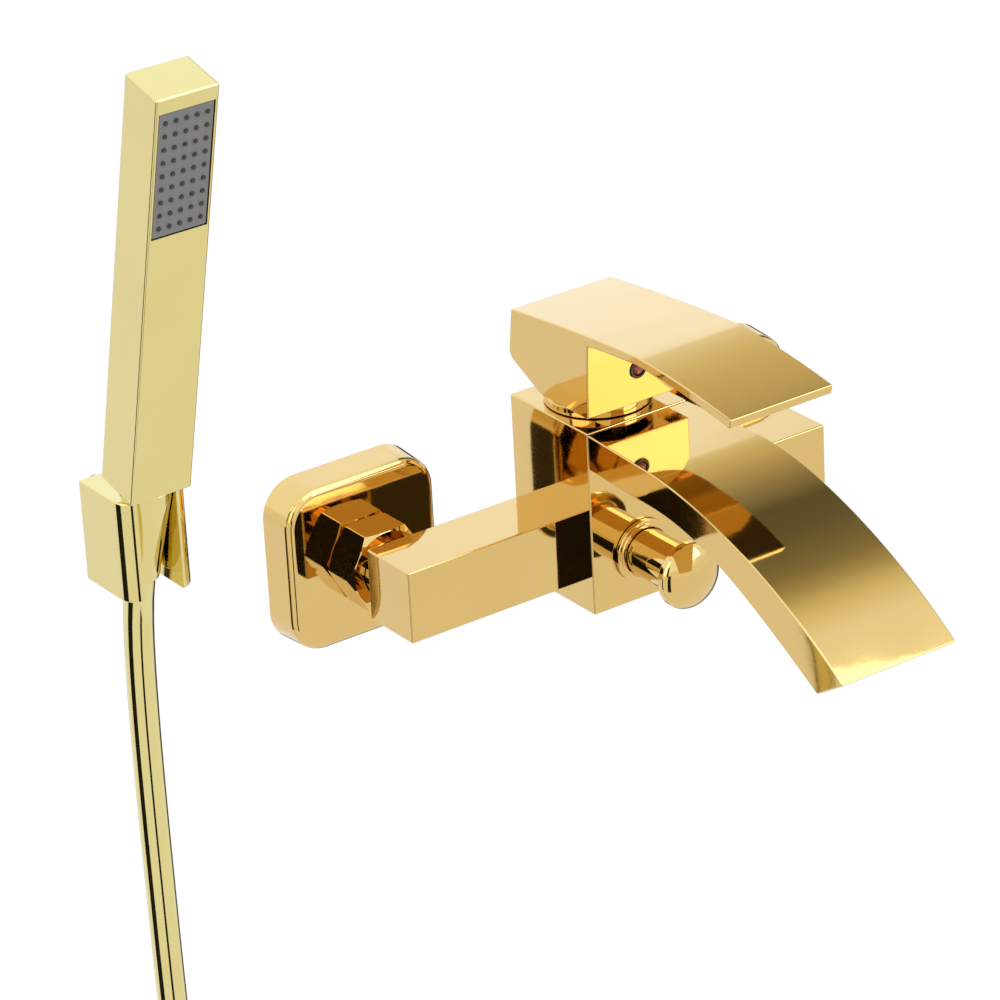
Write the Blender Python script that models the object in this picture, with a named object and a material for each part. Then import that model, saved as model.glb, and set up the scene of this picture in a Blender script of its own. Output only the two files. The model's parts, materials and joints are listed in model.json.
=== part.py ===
"""Wall-mounted bath mixer with a waterfall spout, a pull diverter and a hand shower on its bracket.

Every number here is in millimetres and becomes metres where a mesh is made. +Z is up, +Y points
into the wall, and the origin is on the wall's surface, midway between the two inlets.
"""

import math

import bmesh
import bpy
from mathutils import Matrix, Vector

MM = 0.001
GAP = 0.3  # left between pieces that rest on or run in each other
ROUND = 24  # sides of a round piece
FINE = 40  # sides of a large round piece that shows

# Inlets, wall unions and cover plates
INLET_SPACING = 150.0
UNION_TAIL_RADIUS = 10.3
UNION_TAIL_LENGTH = 14.0
UNION_RADIUS = 11.6
UNION_BORE = 6.2
WASHER_THICKNESS = 1.6
NUT_ACROSS_FLATS = 27.4
NUT_LENGTH = 13.7
NUT_LIP = 3.0
COVER_SIZE = 60.0
COVER_DEPTH = 14.0
COVER_TAPER = 0.7
COVER_CORNER = 13.0
COVER_WALL = 1.4

# Body: a bar through a taller block
BAR_BACK = 33.0  # wall to the bar's back
BAR_DEPTH = 24.0
BAR_HEIGHT = 25.5
BAR_OVERHANG = 11.5  # past each inlet's centre
BLOCK_WIDTH = 41.0
BLOCK_BACK = 24.7
BLOCK_DEPTH = 42.8
BLOCK_ABOVE = 45.9  # above the inlets' level
BLOCK_BELOW = 20.3
EDGE_ROUND = 0.6
SPIGOT_RADIUS = 9.6
UNION_TO_BAR = 12.2  # from a union's front end to the bar's back
WATERWAY_RADIUS = 5.0
RISER_OFFSET = 10.5  # either side of the cartridge's axis
RISER_RADIUS = 2.2
SUPPLY_OFFSET = 7.0  # mixed water's way down, in front of the cartridge's axis
PASSAGE_WALL = 1.3  # left in front of the way up to the spout
PASSAGE_DEPTH = 2.8

# Cartridge, from the floor of its bore upwards
CARTRIDGE_RADIUS = 14.0
CARTRIDGE_BORE_DEPTH = 32.9
CARTRIDGE_WALL = 1.3
GASKET_THICKNESS = 1.0
BASE_HEIGHT = 4.8
FIXED_DISC_HEIGHT = 4.5
MOVING_DISC_HEIGHT = 5.7
MOVING_DISC_RADIUS = 9.4
MOVING_DISC_SHIFT = 2.9
CARRIER_HEIGHT = 6.9
CARRIER_NECK_RADIUS = 7.6
HOUSING_ROOF = 3.2
NUT_BORE_RADIUS = 16.2
NUT_BORE_DEPTH = 8.0
CAP_RADIUS = 18.2
CAP_HEIGHT = 3.3
PORT_RADIUS = 1.8
STEM_HALF_WIDTH = 2.4
STEM_HALF_DEPTH = 3.5
STEM_BALL_RADIUS = 2.0
STEM_ARM = 16.5  # pivot to the ball that pushes the disc
PIVOT_BELOW_TOP = 0.4
PIN_RADIUS = 1.1
LEVER_LIFT = 20.0

# Lever
LEVER_WIDTH = 41.0
LEVER_PLATE = 3.0
LEVER_BOSS_FLOOR = 5.5  # above the block's top
SOCKET_DEPTH = 15.5
INDEX_RADIUS = 3.2
INDEX_ABOVE_BLOCK = 17.8
GRUB_RADIUS = 2.0

# Spout
SPOUT_TIP_WIDTH = 46.0
SPOUT_FLARE_END = 135.0  # distance from the wall where the spout reaches its full width
SPOUT_ROOT_HEIGHT = 12.6
TONGUE_HALF_WIDTH = 9.7
TONGUE_HEIGHT = 6.8
DUCT_WALL = 2.5
STRAIGHTENER_SLOTS = 9

# Diverter
DIVERTER_HEIGHT = -2.5
BONNET_RADIUS = 10.6
BONNET_DEPTH = 7.2
BONNET_FLANGE_RADIUS = 11.2
NECK_RADIUS = 8.4
NECK_LENGTH = 27.6
KNOB_RADIUS = 11.7
CHAMBER_RADIUS = 6.8
CHAMBER_DEPTH = 31.5
DIVERTER_STEM_RADIUS = 1.9
SPRING_RADIUS = 4.2
SPRING_WIRE = 0.45
SPRING_TURNS = 4
OUTLET_RADIUS = 9.9
OUTLET_BORE = 5.5
OUTLET_DROP = 6.5
OUTLET_BACK = 38.0  # wall to the shower outlet's centre

# Hand shower, in its own frame: its axis is +Z, its spray face looks along -Y
SHOWER_X = -162.0
SHOWER_Y = -24.4
SHOWER_Z = 58.0
SHOWER_LEAN = math.radians(14.0)
SHOWER_WIDTH = 22.5
SHOWER_DEPTH = 18.0
SHOWER_LENGTH = 151.5
SHOWER_WALL = 1.8
PLATE_WIDTH = 19.6
PLATE_HEIGHT = 44.6
PLATE_FROM_TOP = 5.6
PLATE_THICKNESS = 1.4
NOZZLE_COLUMNS = 5
NOZZLE_ROWS = 9
NOZZLE_STEP_X = 3.75
NOZZLE_STEP_Z = 4.75
NOZZLE_RADIUS = 0.75
SHOWER_THREAD_RADIUS = 5.2
SHOWER_THREAD_LENGTH = 12.0
CONE_TOP_RADIUS = 8.3
CONE_END_RADIUS = 6.2
CONE_LENGTH = 37.0

# Bracket
BRACKET_WIDTH = 25.0
BRACKET_DEPTH = 30.0
BRACKET_TOP = 55.0
BRACKET_HEIGHT = 35.0
BRACKET_SLOT = 14.6
BRACKET_CORNER = 6.0
BRACKET_SCREW_SPREAD = 20.0
BRACKET_SCREW_REACH = 11.0  # into the wall, hidden behind the bracket as the photo looks at it
PLATE_GAP = 3.0  # wall to the bracket's back

# Hose: the stretch that hangs, then the rest of its length wound in a coil
HOSE_RADIUS = 5.0
HOSE_ROUTE = [
    (-162.0, -15.35, 21.7),
    (-162.0, -12.7, 10.4),
    (-162.2, -11.2, -6.0),
    (-162.6, -11.0, -30.0),
    (-163.2, -12.0, -60.0),
    (-163.8, -13.6, -92.0),
    (-164.4, -15.4, -122.0),
    (-164.8, -17.0, -146.0),
    (-165.0, -17.8, -172.0),
    (-165.0, -18.0, -202.0),
    (-165.0, -18.0, -232.0),
]
HOSE_POINTS = 26
COIL_RADIUS = 60.0
COIL_THICKNESS = 21.0
TIE_BAND = 1.2
TIE_WIDTH = 9.0
END_NUT_LENGTH = 15.0
END_NUT_ACROSS_FLATS = 17.0
END_NUT_BORE = 6.0

BAR_FRONT = BAR_BACK + BAR_DEPTH
BAR_MIDDLE = BAR_BACK + BAR_DEPTH / 2
BLOCK_FRONT = BLOCK_BACK + BLOCK_DEPTH
CARTRIDGE_Y = -(BLOCK_BACK + BLOCK_DEPTH / 2)
FLOOR = BLOCK_ABOVE - CARTRIDGE_BORE_DEPTH
OUTLET_TOP = 6.0 - BLOCK_BELOW
PIVOT_Z = BLOCK_ABOVE - PIVOT_BELOW_TOP


# ---- materials ------------------------------------------------------------------------------


def material(name, colour, metallic, roughness):
    made = bpy.data.materials.new(name)
    made.use_nodes = True
    surface = made.node_tree.nodes["Principled BSDF"]
    surface.inputs["Base Color"].default_value = (*colour, 1.0)
    surface.inputs["Metallic"].default_value = metallic
    surface.inputs["Roughness"].default_value = roughness
    made.diffuse_color = (*colour, 1.0)
    return made


# ---- shapes ---------------------------------------------------------------------------------


def place(name, shape, finish, frame=None):
    """Make the bmesh an object. A frame is the empty on whose axis the piece moves."""
    bmesh.ops.recalc_face_normals(shape, faces=shape.faces)
    mesh = bpy.data.meshes.new(name)
    shape.to_mesh(mesh)
    shape.free()
    mesh.shade_smooth()
    mesh.set_sharp_from_angle(angle=math.radians(35))
    made = bpy.data.objects.new(name, mesh)
    bpy.context.scene.collection.objects.link(made)
    if finish is not None:
        mesh.materials.append(finish)
    if frame is not None:
        made.parent = frame
    return made


def axis_frame(name, location, lean=0.0):
    made = bpy.data.objects.new(name, None)
    made.location = Vector(location) * MM
    made.rotation_euler.x = lean
    bpy.context.scene.collection.objects.link(made)
    return made


def box(low, high):
    shape = bmesh.new()
    size = [(b - a) * MM for a, b in zip(low, high)]
    middle = [(a + b) / 2 * MM for a, b in zip(low, high)]
    where = Matrix.Translation(middle) @ Matrix.Diagonal((*size, 1.0))
    bmesh.ops.create_cube(shape, size=1.0, matrix=where)
    return shape


def lofted(rings):
    """Skin a row of closed rings, each a list of points, and cap both ends."""
    shape = bmesh.new()
    loops = [[shape.verts.new(Vector(point) * MM) for point in ring] for ring in rings]
    for first, second in zip(loops, loops[1:]):
        for i in range(len(first)):
            j = (i + 1) % len(first)
            shape.faces.new((first[i], first[j], second[j], second[i]))
    shape.faces.new(loops[0])
    shape.faces.new(loops[-1])
    return shape


def extruded(outline, low, high):
    """An outline of (y, z) points, drawn out along X."""
    return lofted([[(x, y, z) for y, z in outline] for x in (low, high)])


def turned(profile, middle=(0.0, 0.0, 0.0), along="Z", sides=ROUND):
    """Spin (radius, height) points. Heights run up Z, out along -Y, or along X."""
    shape = bmesh.new()
    points = [shape.verts.new((r * MM, 0.0, h * MM)) for r, h in profile]
    pairs = list(zip(points, points[1:]))
    if profile[0][0] > 0 or profile[-1][0] > 0:
        pairs.append((points[-1], points[0]))
    edges = [shape.edges.new(pair) for pair in pairs]
    bmesh.ops.spin(
        shape,
        geom=points + edges,
        cent=(0.0, 0.0, 0.0),
        axis=(0.0, 0.0, 1.0),
        angle=2 * math.pi,
        steps=sides,
        use_merge=True,
    )
    bmesh.ops.remove_doubles(shape, verts=shape.verts, dist=1e-7)
    turns = {
        "Z": Matrix.Identity(4),
        "-Y": Matrix.Rotation(math.pi / 2, 4, "X"),
        "X": Matrix.Rotation(math.pi / 2, 4, "Y"),
    }
    where = Matrix.Translation(Vector(middle) * MM) @ turns[along]
    bmesh.ops.transform(shape, matrix=where, verts=shape.verts)
    return shape


def disc(radius, low, high, **where):
    return turned([(0.0, low), (radius, low), (radius, high), (0.0, high)], **where)


def ring(inner, outer, low, high, **where):
    profile = [(inner, low), (outer, low), (outer, high), (inner, high)]
    return turned(profile, **where)


def rod(start, end, radius, sides=16):
    """A plain cylinder between two points."""
    start = Vector(start) * MM
    end = Vector(end) * MM
    run = end - start
    where = Matrix.Translation((start + end) / 2) @ run.to_track_quat("Z", "Y").to_matrix().to_4x4()
    shape = bmesh.new()
    bmesh.ops.create_cone(
        shape,
        cap_ends=True,
        segments=sides,
        radius1=radius * MM,
        radius2=radius * MM,
        depth=run.length,
        matrix=where,
    )
    return shape


def hexagon(across_flats, y):
    """Corners at the left and right, flats on top and underneath."""
    reach = across_flats / math.sqrt(3)
    turns = [i * math.pi / 3 for i in range(6)]
    return [(reach * math.cos(a), y, reach * math.sin(a)) for a in turns]


def rounded_rectangle(half_x, half_y, corner, steps=6):
    points = []
    for quarter, (sx, sy) in enumerate(((1, 1), (-1, 1), (-1, -1), (1, -1))):
        for step in range(steps + 1):
            a = (quarter + step / steps) * math.pi / 2
            x = sx * (half_x - corner) + corner * math.cos(a)
            y = sy * (half_y - corner) + corner * math.sin(a)
            points.append((x, y))
    return points


def bezier(points, count):
    """Count points along the Bezier curve that these control points give, ends included."""
    made = []
    for i in range(count):
        t = i / (count - 1)
        row = [Vector(point) for point in points]
        while len(row) > 1:
            row = [a.lerp(b, t) for a, b in zip(row, row[1:])]
        made.append(tuple(row[0]))
    return made


def shifted(shape, offset):
    bmesh.ops.translate(shape, verts=shape.verts, vec=Vector(offset) * MM)
    return shape


# ---- modifiers ------------------------------------------------------------------------------


def boolean(target, shape, operation, solver="EXACT"):
    """Cut the shape out of the target, or join it on."""
    helper = place(target.name + "_" + operation.lower(), shape, None, target.parent)
    helper.hide_render = True
    helper.display_type = "WIRE"
    modifier = target.modifiers.new(operation.title(), "BOOLEAN")
    modifier.operation = operation
    modifier.solver = solver
    modifier.object = helper
    return helper


def cut(target, *shapes, solver="EXACT"):
    for shape in shapes:
        boolean(target, shape, "DIFFERENCE", solver)


def join(target, *shapes, solver="EXACT"):
    for shape in shapes:
        boolean(target, shape, "UNION", solver)


def soften(target, width, angle=40, segments=2):
    modifier = target.modifiers.new("Bevel", "BEVEL")
    modifier.width = width * MM
    modifier.segments = segments
    modifier.limit_method = "ANGLE"
    modifier.angle_limit = math.radians(angle)
    modifier.use_clamp_overlap = True


# ---- unions, nuts and cover plates ----------------------------------------------------------


def make_wall_connections(finishes):
    washer_back = BAR_BACK - UNION_TO_BAR
    for side, sign in (("left", -1), ("right", 1)):
        x = sign * INLET_SPACING / 2
        union_profile = [
            (UNION_BORE, -UNION_TAIL_LENGTH),
            (UNION_TAIL_RADIUS, -UNION_TAIL_LENGTH),
            (UNION_TAIL_RADIUS, 0.0),
            (UNION_RADIUS, 0.0),
            (UNION_RADIUS, washer_back),
            (UNION_BORE, washer_back),
        ]
        place(side + "_union", turned(union_profile, (x, 0, 0), "-Y"), finishes["brass"])
        washer = ring(
            UNION_BORE + GAP,
            UNION_RADIUS - GAP,
            washer_back + GAP,
            washer_back + GAP + WASHER_THICKNESS,
            middle=(x, 0, 0),
            along="-Y",
        )
        place(side + "_inlet_washer", washer, finishes["fibre"])
        make_union_nut(side, x, finishes)
        make_cover(side, x, finishes)


def make_union_nut(side, x, finishes):
    back = COVER_DEPTH + GAP
    front = back + NUT_LENGTH
    rings = [hexagon(NUT_ACROSS_FLATS, -back), hexagon(NUT_ACROSS_FLATS, -front)]
    nut = place(side + "_union_nut", shifted(lofted(rings), (x, 0, 0)), finishes["gold"])
    soften(nut, 0.8)
    wide = disc(
        UNION_RADIUS + GAP, back - 2, front - NUT_LIP, middle=(x, 0, 0), along="-Y"
    )
    narrow = disc(SPIGOT_RADIUS + GAP, back, front + 2, middle=(x, 0, 0), along="-Y")
    cut(nut, wide, narrow)


def make_cover(side, x, finishes):
    def outline(half, corner, y):
        return [(x + a, -y, b) for a, b in rounded_rectangle(half, half, corner)]

    half = COVER_SIZE / 2
    face = half - COVER_TAPER
    rings = [
        outline(half, COVER_CORNER, 0.0),
        outline(face, COVER_CORNER, COVER_DEPTH - 1.6),
        outline(face - 0.5, COVER_CORNER - 0.5, COVER_DEPTH - 0.5),
        outline(face - 1.6, COVER_CORNER - 1.6, COVER_DEPTH),
    ]
    cover = place(side + "_cover_plate", lofted(rings), finishes["gold"])
    inner = [
        outline(half - COVER_WALL, COVER_CORNER - COVER_WALL, -2.0),
        outline(face - COVER_WALL, COVER_CORNER - COVER_WALL, COVER_DEPTH - COVER_WALL),
    ]
    hole = disc(UNION_RADIUS + GAP, -2, COVER_DEPTH + 2, middle=(x, 0, 0), along="-Y")
    cut(cover, lofted(inner), hole)


# ---- body -----------------------------------------------------------------------------------


def make_body(finishes):
    end = INLET_SPACING / 2 + BAR_OVERHANG
    half = BLOCK_WIDTH / 2
    body = place(
        "mixer_body",
        box((-end, -BAR_FRONT, -BAR_HEIGHT / 2), (end, -BAR_BACK, BAR_HEIGHT / 2)),
        finishes["gold"],
    )
    soften(body, EDGE_ROUND)
    block = boolean(
        body,
        box((-half, -BLOCK_FRONT, -BLOCK_BELOW), (half, -BLOCK_BACK, BLOCK_ABOVE)),
        "UNION",
        "MANIFOLD",
    )
    soften(block, EDGE_ROUND)
    spigot_end = BAR_BACK - UNION_TO_BAR + WASHER_THICKNESS + 2 * GAP
    collar_front = COVER_DEPTH + GAP + NUT_LENGTH - NUT_LIP - GAP
    for sign in (-1, 1):
        x = sign * INLET_SPACING / 2
        spigot = turned(
            [
                (UNION_BORE, spigot_end),
                (UNION_RADIUS, spigot_end),
                (UNION_RADIUS, collar_front),
                (SPIGOT_RADIUS, collar_front),
                (SPIGOT_RADIUS, BAR_BACK + 3),
                (UNION_BORE, BAR_BACK + 3),
            ],
            (x, 0, 0),
            "-Y",
        )
        join(body, spigot, solver="MANIFOLD")
        riser_x = sign * RISER_OFFSET
        cut(
            body,
            rod((x, -BAR_BACK + 2, 0), (x, -BAR_MIDDLE - 3.7, 0), UNION_BORE - GAP, 24),
            rod((x, -BAR_MIDDLE, 0), (riser_x - sign * 2, -BAR_MIDDLE, 0), WATERWAY_RADIUS),
            rod((riser_x, CARTRIDGE_Y, -1), (riser_x, CARTRIDGE_Y, FLOOR + 1), RISER_RADIUS),
            solver="MANIFOLD",
        )
    # Cartridge bore, wider above for the nut that holds the cartridge down
    above = BLOCK_ABOVE + 2
    middle = (0, CARTRIDGE_Y, 0)
    cut(
        body,
        disc(CARTRIDGE_RADIUS + GAP, FLOOR, above, middle=middle),
        disc(NUT_BORE_RADIUS, BLOCK_ABOVE - NUT_BORE_DEPTH, above, middle=middle),
        solver="MANIFOLD",
    )
    # Diverter: seat in the front face, chamber behind it, ports above and below
    axis = (0, 0, DIVERTER_HEIGHT)
    seat_back = BLOCK_FRONT - BONNET_DEPTH - GAP
    chamber_back = BLOCK_FRONT - CHAMBER_DEPTH
    supply_y = CARTRIDGE_Y - SUPPLY_OFFSET
    outlet = (0, -OUTLET_BACK, 0)
    cut(
        body,
        disc(BONNET_RADIUS + GAP, seat_back, BLOCK_FRONT + 2, middle=axis, along="-Y"),
        disc(CHAMBER_RADIUS, chamber_back, seat_back + 1, middle=axis, along="-Y", sides=24),
        rod((0, supply_y, DIVERTER_HEIGHT), (0, supply_y, FLOOR + 1), RISER_RADIUS),
        rod((0, -OUTLET_BACK, DIVERTER_HEIGHT), (0, -OUTLET_BACK, -BLOCK_BELOW - 1), 4.0),
        disc(OUTLET_RADIUS + GAP, -BLOCK_BELOW - 1, OUTLET_TOP, middle=outlet),
        solver="MANIFOLD",
    )
    # Spout passage: up inside the front wall, out through a mouth near the top
    low = DIVERTER_HEIGHT + BONNET_RADIUS + 1.1
    mouth_low, mouth_high = mouth_heights()
    passage_front = -(BLOCK_FRONT - PASSAGE_WALL)
    passage_back = passage_front + PASSAGE_DEPTH
    half = TONGUE_HALF_WIDTH + GAP
    cut(
        body,
        box((-half + 0.4, passage_front, low), (half - 0.4, passage_back, mouth_high - 0.4)),
        box((-4.5, passage_front + 0.3, low + 0.2), (4.5, -(seat_back - 3.5), low + 2.5)),
        box((-4.0, -(seat_back - 0.5), DIVERTER_HEIGHT), (4.0, -(seat_back - 3.0), low + 2.0)),
        box((-half, -(BLOCK_FRONT + 1), mouth_low), (half, passage_front + 1, mouth_high)),
        solver="MANIFOLD",
    )
    return body


def mouth_heights():
    """Lowest and highest z of the opening that the spout's tongue enters."""
    middle = BLOCK_ABOVE - SPOUT_ROOT_HEIGHT / 2 - 1.7
    half = TONGUE_HEIGHT / 2 + GAP
    return middle - half, middle + half


def make_shower_outlet(finishes):
    low = -BLOCK_BELOW - OUTLET_DROP
    tube = ring(
        OUTLET_BORE, OUTLET_RADIUS, low, OUTLET_TOP - GAP, middle=(0, -OUTLET_BACK, 0)
    )
    place("shower_outlet", tube, finishes["gold"])


# ---- cartridge ------------------------------------------------------------------------------


def ports():
    """Hot, cold and mixed ports: x and y at the base's underside, then at its top."""
    return [
        ((-RISER_OFFSET, 0.0), (-4.6, -3.6)),
        ((RISER_OFFSET, 0.0), (4.6, -3.6)),
        ((0.0, -SUPPLY_OFFSET), (0.0, 3.5)),
    ]


def make_cartridge(finishes):
    middle = (0, CARTRIDGE_Y, 0)
    inner = CARTRIDGE_RADIUS - CARTRIDGE_WALL
    gasket_low = FLOOR + GAP
    base_low = gasket_low + GASKET_THICKNESS + GAP
    disc_low = base_low + BASE_HEIGHT + GAP
    moving_low = disc_low + FIXED_DISC_HEIGHT + GAP
    carrier_low = moving_low + MOVING_DISC_HEIGHT + GAP
    roof = carrier_low + CARRIER_HEIGHT + GAP
    radius = CARTRIDGE_RADIUS - GAP

    gasket = disc(radius, gasket_low, gasket_low + GASKET_THICKNESS, middle=middle)
    gasket = place("cartridge_gasket", gasket, finishes["rubber"])
    base = disc(radius, base_low, base_low + BASE_HEIGHT, middle=middle)
    base = place("cartridge_base", base, finishes["plastic"])
    fixed = disc(inner - GAP, disc_low, disc_low + FIXED_DISC_HEIGHT, middle=middle)
    fixed = place("fixed_ceramic_disc", fixed, finishes["ceramic"])
    for (x0, y0), (x1, y1) in ports():
        under = (x0, CARTRIDGE_Y + y0, gasket_low - 1)
        above = (x0, CARTRIDGE_Y + y0, base_low)
        cut(gasket, rod(under, above, RISER_RADIUS, 12))
        start = Vector((x0, CARTRIDGE_Y + y0, base_low))
        end = Vector((x1, CARTRIDGE_Y + y1, base_low + BASE_HEIGHT))
        past = (end - start).normalized()
        cut(base, rod(start - past * 1.5, end + past * 1.5, PORT_RADIUS, 12))
        low = (x1, CARTRIDGE_Y + y1, disc_low - 1)
        high = (x1, CARTRIDGE_Y + y1, disc_low + FIXED_DISC_HEIGHT + 1)
        cut(fixed, rod(low, high, PORT_RADIUS + 0.2, 12))

    housing = turned(
        [
            (inner, disc_low),
            (CARTRIDGE_RADIUS, disc_low),
            (CARTRIDGE_RADIUS, roof + HOUSING_ROOF),
            (CARRIER_NECK_RADIUS + GAP, roof + HOUSING_ROOF),
            (CARRIER_NECK_RADIUS + GAP, roof),
            (inner, roof),
        ],
        middle,
    )
    place("cartridge_housing", housing, finishes["plastic"])
    nut_low = roof + HOUSING_ROOF + GAP
    nut = ring(
        CARRIER_NECK_RADIUS + 1.2, NUT_BORE_RADIUS - GAP, nut_low, BLOCK_ABOVE - 0.2, middle=middle
    )
    place("cartridge_nut", nut, finishes["brass"])
    cap_low = BLOCK_ABOVE + GAP
    cap = turned(
        [
            (CARRIER_NECK_RADIUS + 1.2, cap_low),
            (CAP_RADIUS, cap_low),
            (CAP_RADIUS, cap_low + CAP_HEIGHT - 0.8),
            (CAP_RADIUS - 0.8, cap_low + CAP_HEIGHT),
            (CARRIER_NECK_RADIUS + 1.2, cap_low + CAP_HEIGHT),
        ],
        middle,
        sides=FINE,
    )
    place("cartridge_cap", cap, finishes["gold"])

    turn = axis_frame("lever_turn_axis", middle)
    local = (0, 0, 0)
    moving = disc(
        MOVING_DISC_RADIUS,
        moving_low,
        moving_low + MOVING_DISC_HEIGHT,
        middle=(0, MOVING_DISC_SHIFT, 0),
    )
    moving = place("moving_ceramic_disc", moving, finishes["ceramic"], turn)
    pocket = disc(5.6, moving_low - 1, moving_low + 2.2, middle=(0, MOVING_DISC_SHIFT, 0), sides=24)
    ball_z = PIVOT_Z - STEM_ARM
    reach = STEM_BALL_RADIUS + GAP
    slack = 0.2  # the ball swings on an arc, the disc slides straight
    wide = STEM_HALF_WIDTH + GAP
    socket_low = ball_z - STEM_BALL_RADIUS - GAP
    socket = box((-wide, -reach - slack, socket_low), (wide, reach + slack, carrier_low + 1))
    cut(moving, pocket, socket)

    carrier = turned(
        [
            (0.0, carrier_low),
            (inner - GAP, carrier_low),
            (inner - GAP, carrier_low + CARRIER_HEIGHT),
            (CARRIER_NECK_RADIUS, carrier_low + CARRIER_HEIGHT),
            (CARRIER_NECK_RADIUS, BLOCK_ABOVE + 2.9),
            (0.0, BLOCK_ABOVE + 2.9),
        ],
        local,
    )
    carrier = place("cartridge_carrier", carrier, finishes["plastic"], turn)
    swing = math.sin(math.radians(LEVER_LIFT)) * STEM_ARM
    slot = [
        (-swing - reach - GAP, carrier_low - 1),
        (reach + GAP, carrier_low - 1),
        (4.0, PIVOT_Z - 1.5),
        (5.3, BLOCK_ABOVE + 4),
        (-4.1, BLOCK_ABOVE + 4),
        (-4.1, PIVOT_Z - 1.5),
    ]
    pin_hole = rod((-9, 0, PIVOT_Z), (9, 0, PIVOT_Z), PIN_RADIUS + GAP, 16)
    cut(carrier, extruded(slot, -wide, wide), pin_hole)
    pin_end = CARRIER_NECK_RADIUS - 0.9
    pin = rod((-pin_end, 0, PIVOT_Z), (pin_end, 0, PIVOT_Z), PIN_RADIUS, 16)
    place("stem_pin", pin, finishes["steel"], turn)
    return turn


# ---- lever ----------------------------------------------------------------------------------


def make_lever(finishes):
    """Pieces that tilt about the pin, in a frame whose origin is the pin's middle."""
    tilt = axis_frame("lever_tilt_axis", (0, CARTRIDGE_Y, PIVOT_Z))
    to_frame = (0, -CARTRIDGE_Y, -PIVOT_Z)
    top = BLOCK_ABOVE
    floor = top + LEVER_BOSS_FLOOR
    back = bezier([(-27.6, top + 31.6), (-62.0, top + 35.6), (-97.0, top + 37.1)], 9)
    front = bezier([(-97.0, top + 37.1), (-118.0, top + 36.4), (-145.0, top + 31.5)], 9)
    under = bezier([(-144.4, top + 31.3 - LEVER_PLATE), (-117.0, top + 36.5 - LEVER_PLATE),
                    (-96.0, top + 37.1 - LEVER_PLATE)], 9)
    root = bezier([(-96.0, top + 37.1 - LEVER_PLATE), (-83.0, top + 36.4 - LEVER_PLATE),
                   (-69.9, top + 35.0 - LEVER_PLATE)], 5)
    boss = [(-68.4, floor), (-43.4, floor), (-42.0, floor + 0.4)]
    heel = bezier([(-28.0, floor + 7.5), (-25.4, floor + 8.8), (-25.5, floor + 11.5)], 5)
    outline = back + front[1:] + under + root[1:] + boss + heel
    lever = place(
        "handle_lever",
        shifted(extruded(outline, -LEVER_WIDTH / 2, LEVER_WIDTH / 2), to_frame),
        finishes["gold"],
        tilt,
    )
    soften(lever, 0.5)
    half_x = STEM_HALF_WIDTH + GAP
    half_y = STEM_HALF_DEPTH + GAP
    socket = box(
        (-half_x, CARTRIDGE_Y - half_y, floor - 2), (half_x, CARTRIDGE_Y + half_y, floor + SOCKET_DEPTH)
    )
    index_z = top + INDEX_ABOVE_BLOCK
    screw_hole = rod((0, -75, index_z), (0, CARTRIDGE_Y, index_z), GRUB_RADIUS + GAP)
    index_hole = rod((0, -75, index_z), (0, -66.4, index_z), INDEX_RADIUS + GAP, 24)
    cut(lever, *(shifted(shape, to_frame) for shape in (socket, screw_hole, index_hole)))

    ball_z = PIVOT_Z - STEM_ARM
    r = STEM_BALL_RADIUS
    arc = [math.pi * (1 + i / 8) for i in range(9)]
    tip = [(r * math.cos(a), ball_z + r * math.sin(a)) for a in arc]
    stem_top = floor + SOCKET_DEPTH - GAP
    d = STEM_HALF_DEPTH
    upper = [(r, PIVOT_Z - 6), (3.2, PIVOT_Z - 2.5), (3.2, top + 4), (d, top + 5.0), (d, stem_top)]
    outline = tip + upper + [(-y, z) for y, z in reversed(upper)]
    outline = [(y, z - PIVOT_Z) for y, z in outline]
    stem = extruded(outline, -STEM_HALF_WIDTH, STEM_HALF_WIDTH)
    stem = place("cartridge_stem", stem, finishes["steel"], tilt)
    cut(stem, rod((-5, 0, 0), (5, 0, 0), PIN_RADIUS + GAP, 16))

    grub_back = CARTRIDGE_Y - STEM_HALF_DEPTH - GAP
    grub = rod((0, -63.5, index_z), (0, grub_back, index_z), GRUB_RADIUS)
    grub = place("lever_grub_screw", shifted(grub, to_frame), finishes["steel"], tilt)
    key = [(x, -70, z + index_z) for x, z in rounded_rectangle(1.0, 1.0, 0.2, 1)]
    key_end = [(x, -61.5, z) for x, _, z in key]
    cut(grub, shifted(lofted([key, key_end]), to_frame))
    face = 69.2
    plug = turned(
        [
            (0.0, 63.9),
            (GRUB_RADIUS, 63.9),
            (GRUB_RADIUS, 66.7),
            (INDEX_RADIUS, 66.7),
            (INDEX_RADIUS, face + 0.5),
            (INDEX_RADIUS - 0.9, face + 0.5),
            (INDEX_RADIUS - 0.9, face - 0.9),
            (0.0, face - 0.9),
        ],
        (0, 0, index_z),
        "-Y",
    )
    place("index_plug", shifted(plug, to_frame), finishes["dark"], tilt)
    dot = turned(
        [
            (0.0, face - 0.6),
            (INDEX_RADIUS - 1.2, face - 0.6),
            (INDEX_RADIUS - 1.2, face + 0.3),
            (1.0, face + 0.7),
            (0.0, face + 0.8),
        ],
        (0, 0, index_z),
        "-Y",
    )
    place("index_dot", shifted(dot, to_frame), finishes["red"], tilt)


# ---- spout ----------------------------------------------------------------------------------


def spout_sections(count=15):
    """Pairs of (y, z): the top and the underside of each cross-section, root first."""
    top = BLOCK_ABOVE - 0.3
    low = top - SPOUT_ROOT_HEIGHT
    root = -(BLOCK_FRONT + GAP)
    upper = bezier([(-103.0, top - 0.3), (-128.0, top - 1.1), (-168.0, top - 13.6),
                    (-201.0, top - 38.6)], count)
    lower = bezier([(-101.0, low + 0.2), (-128.0, low + 0.5), (-150.0, low - 10.5),
                    (-188.0, low - 34.0)], count)
    return [((root, top), (root, low))] + list(zip(upper, lower))


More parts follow.
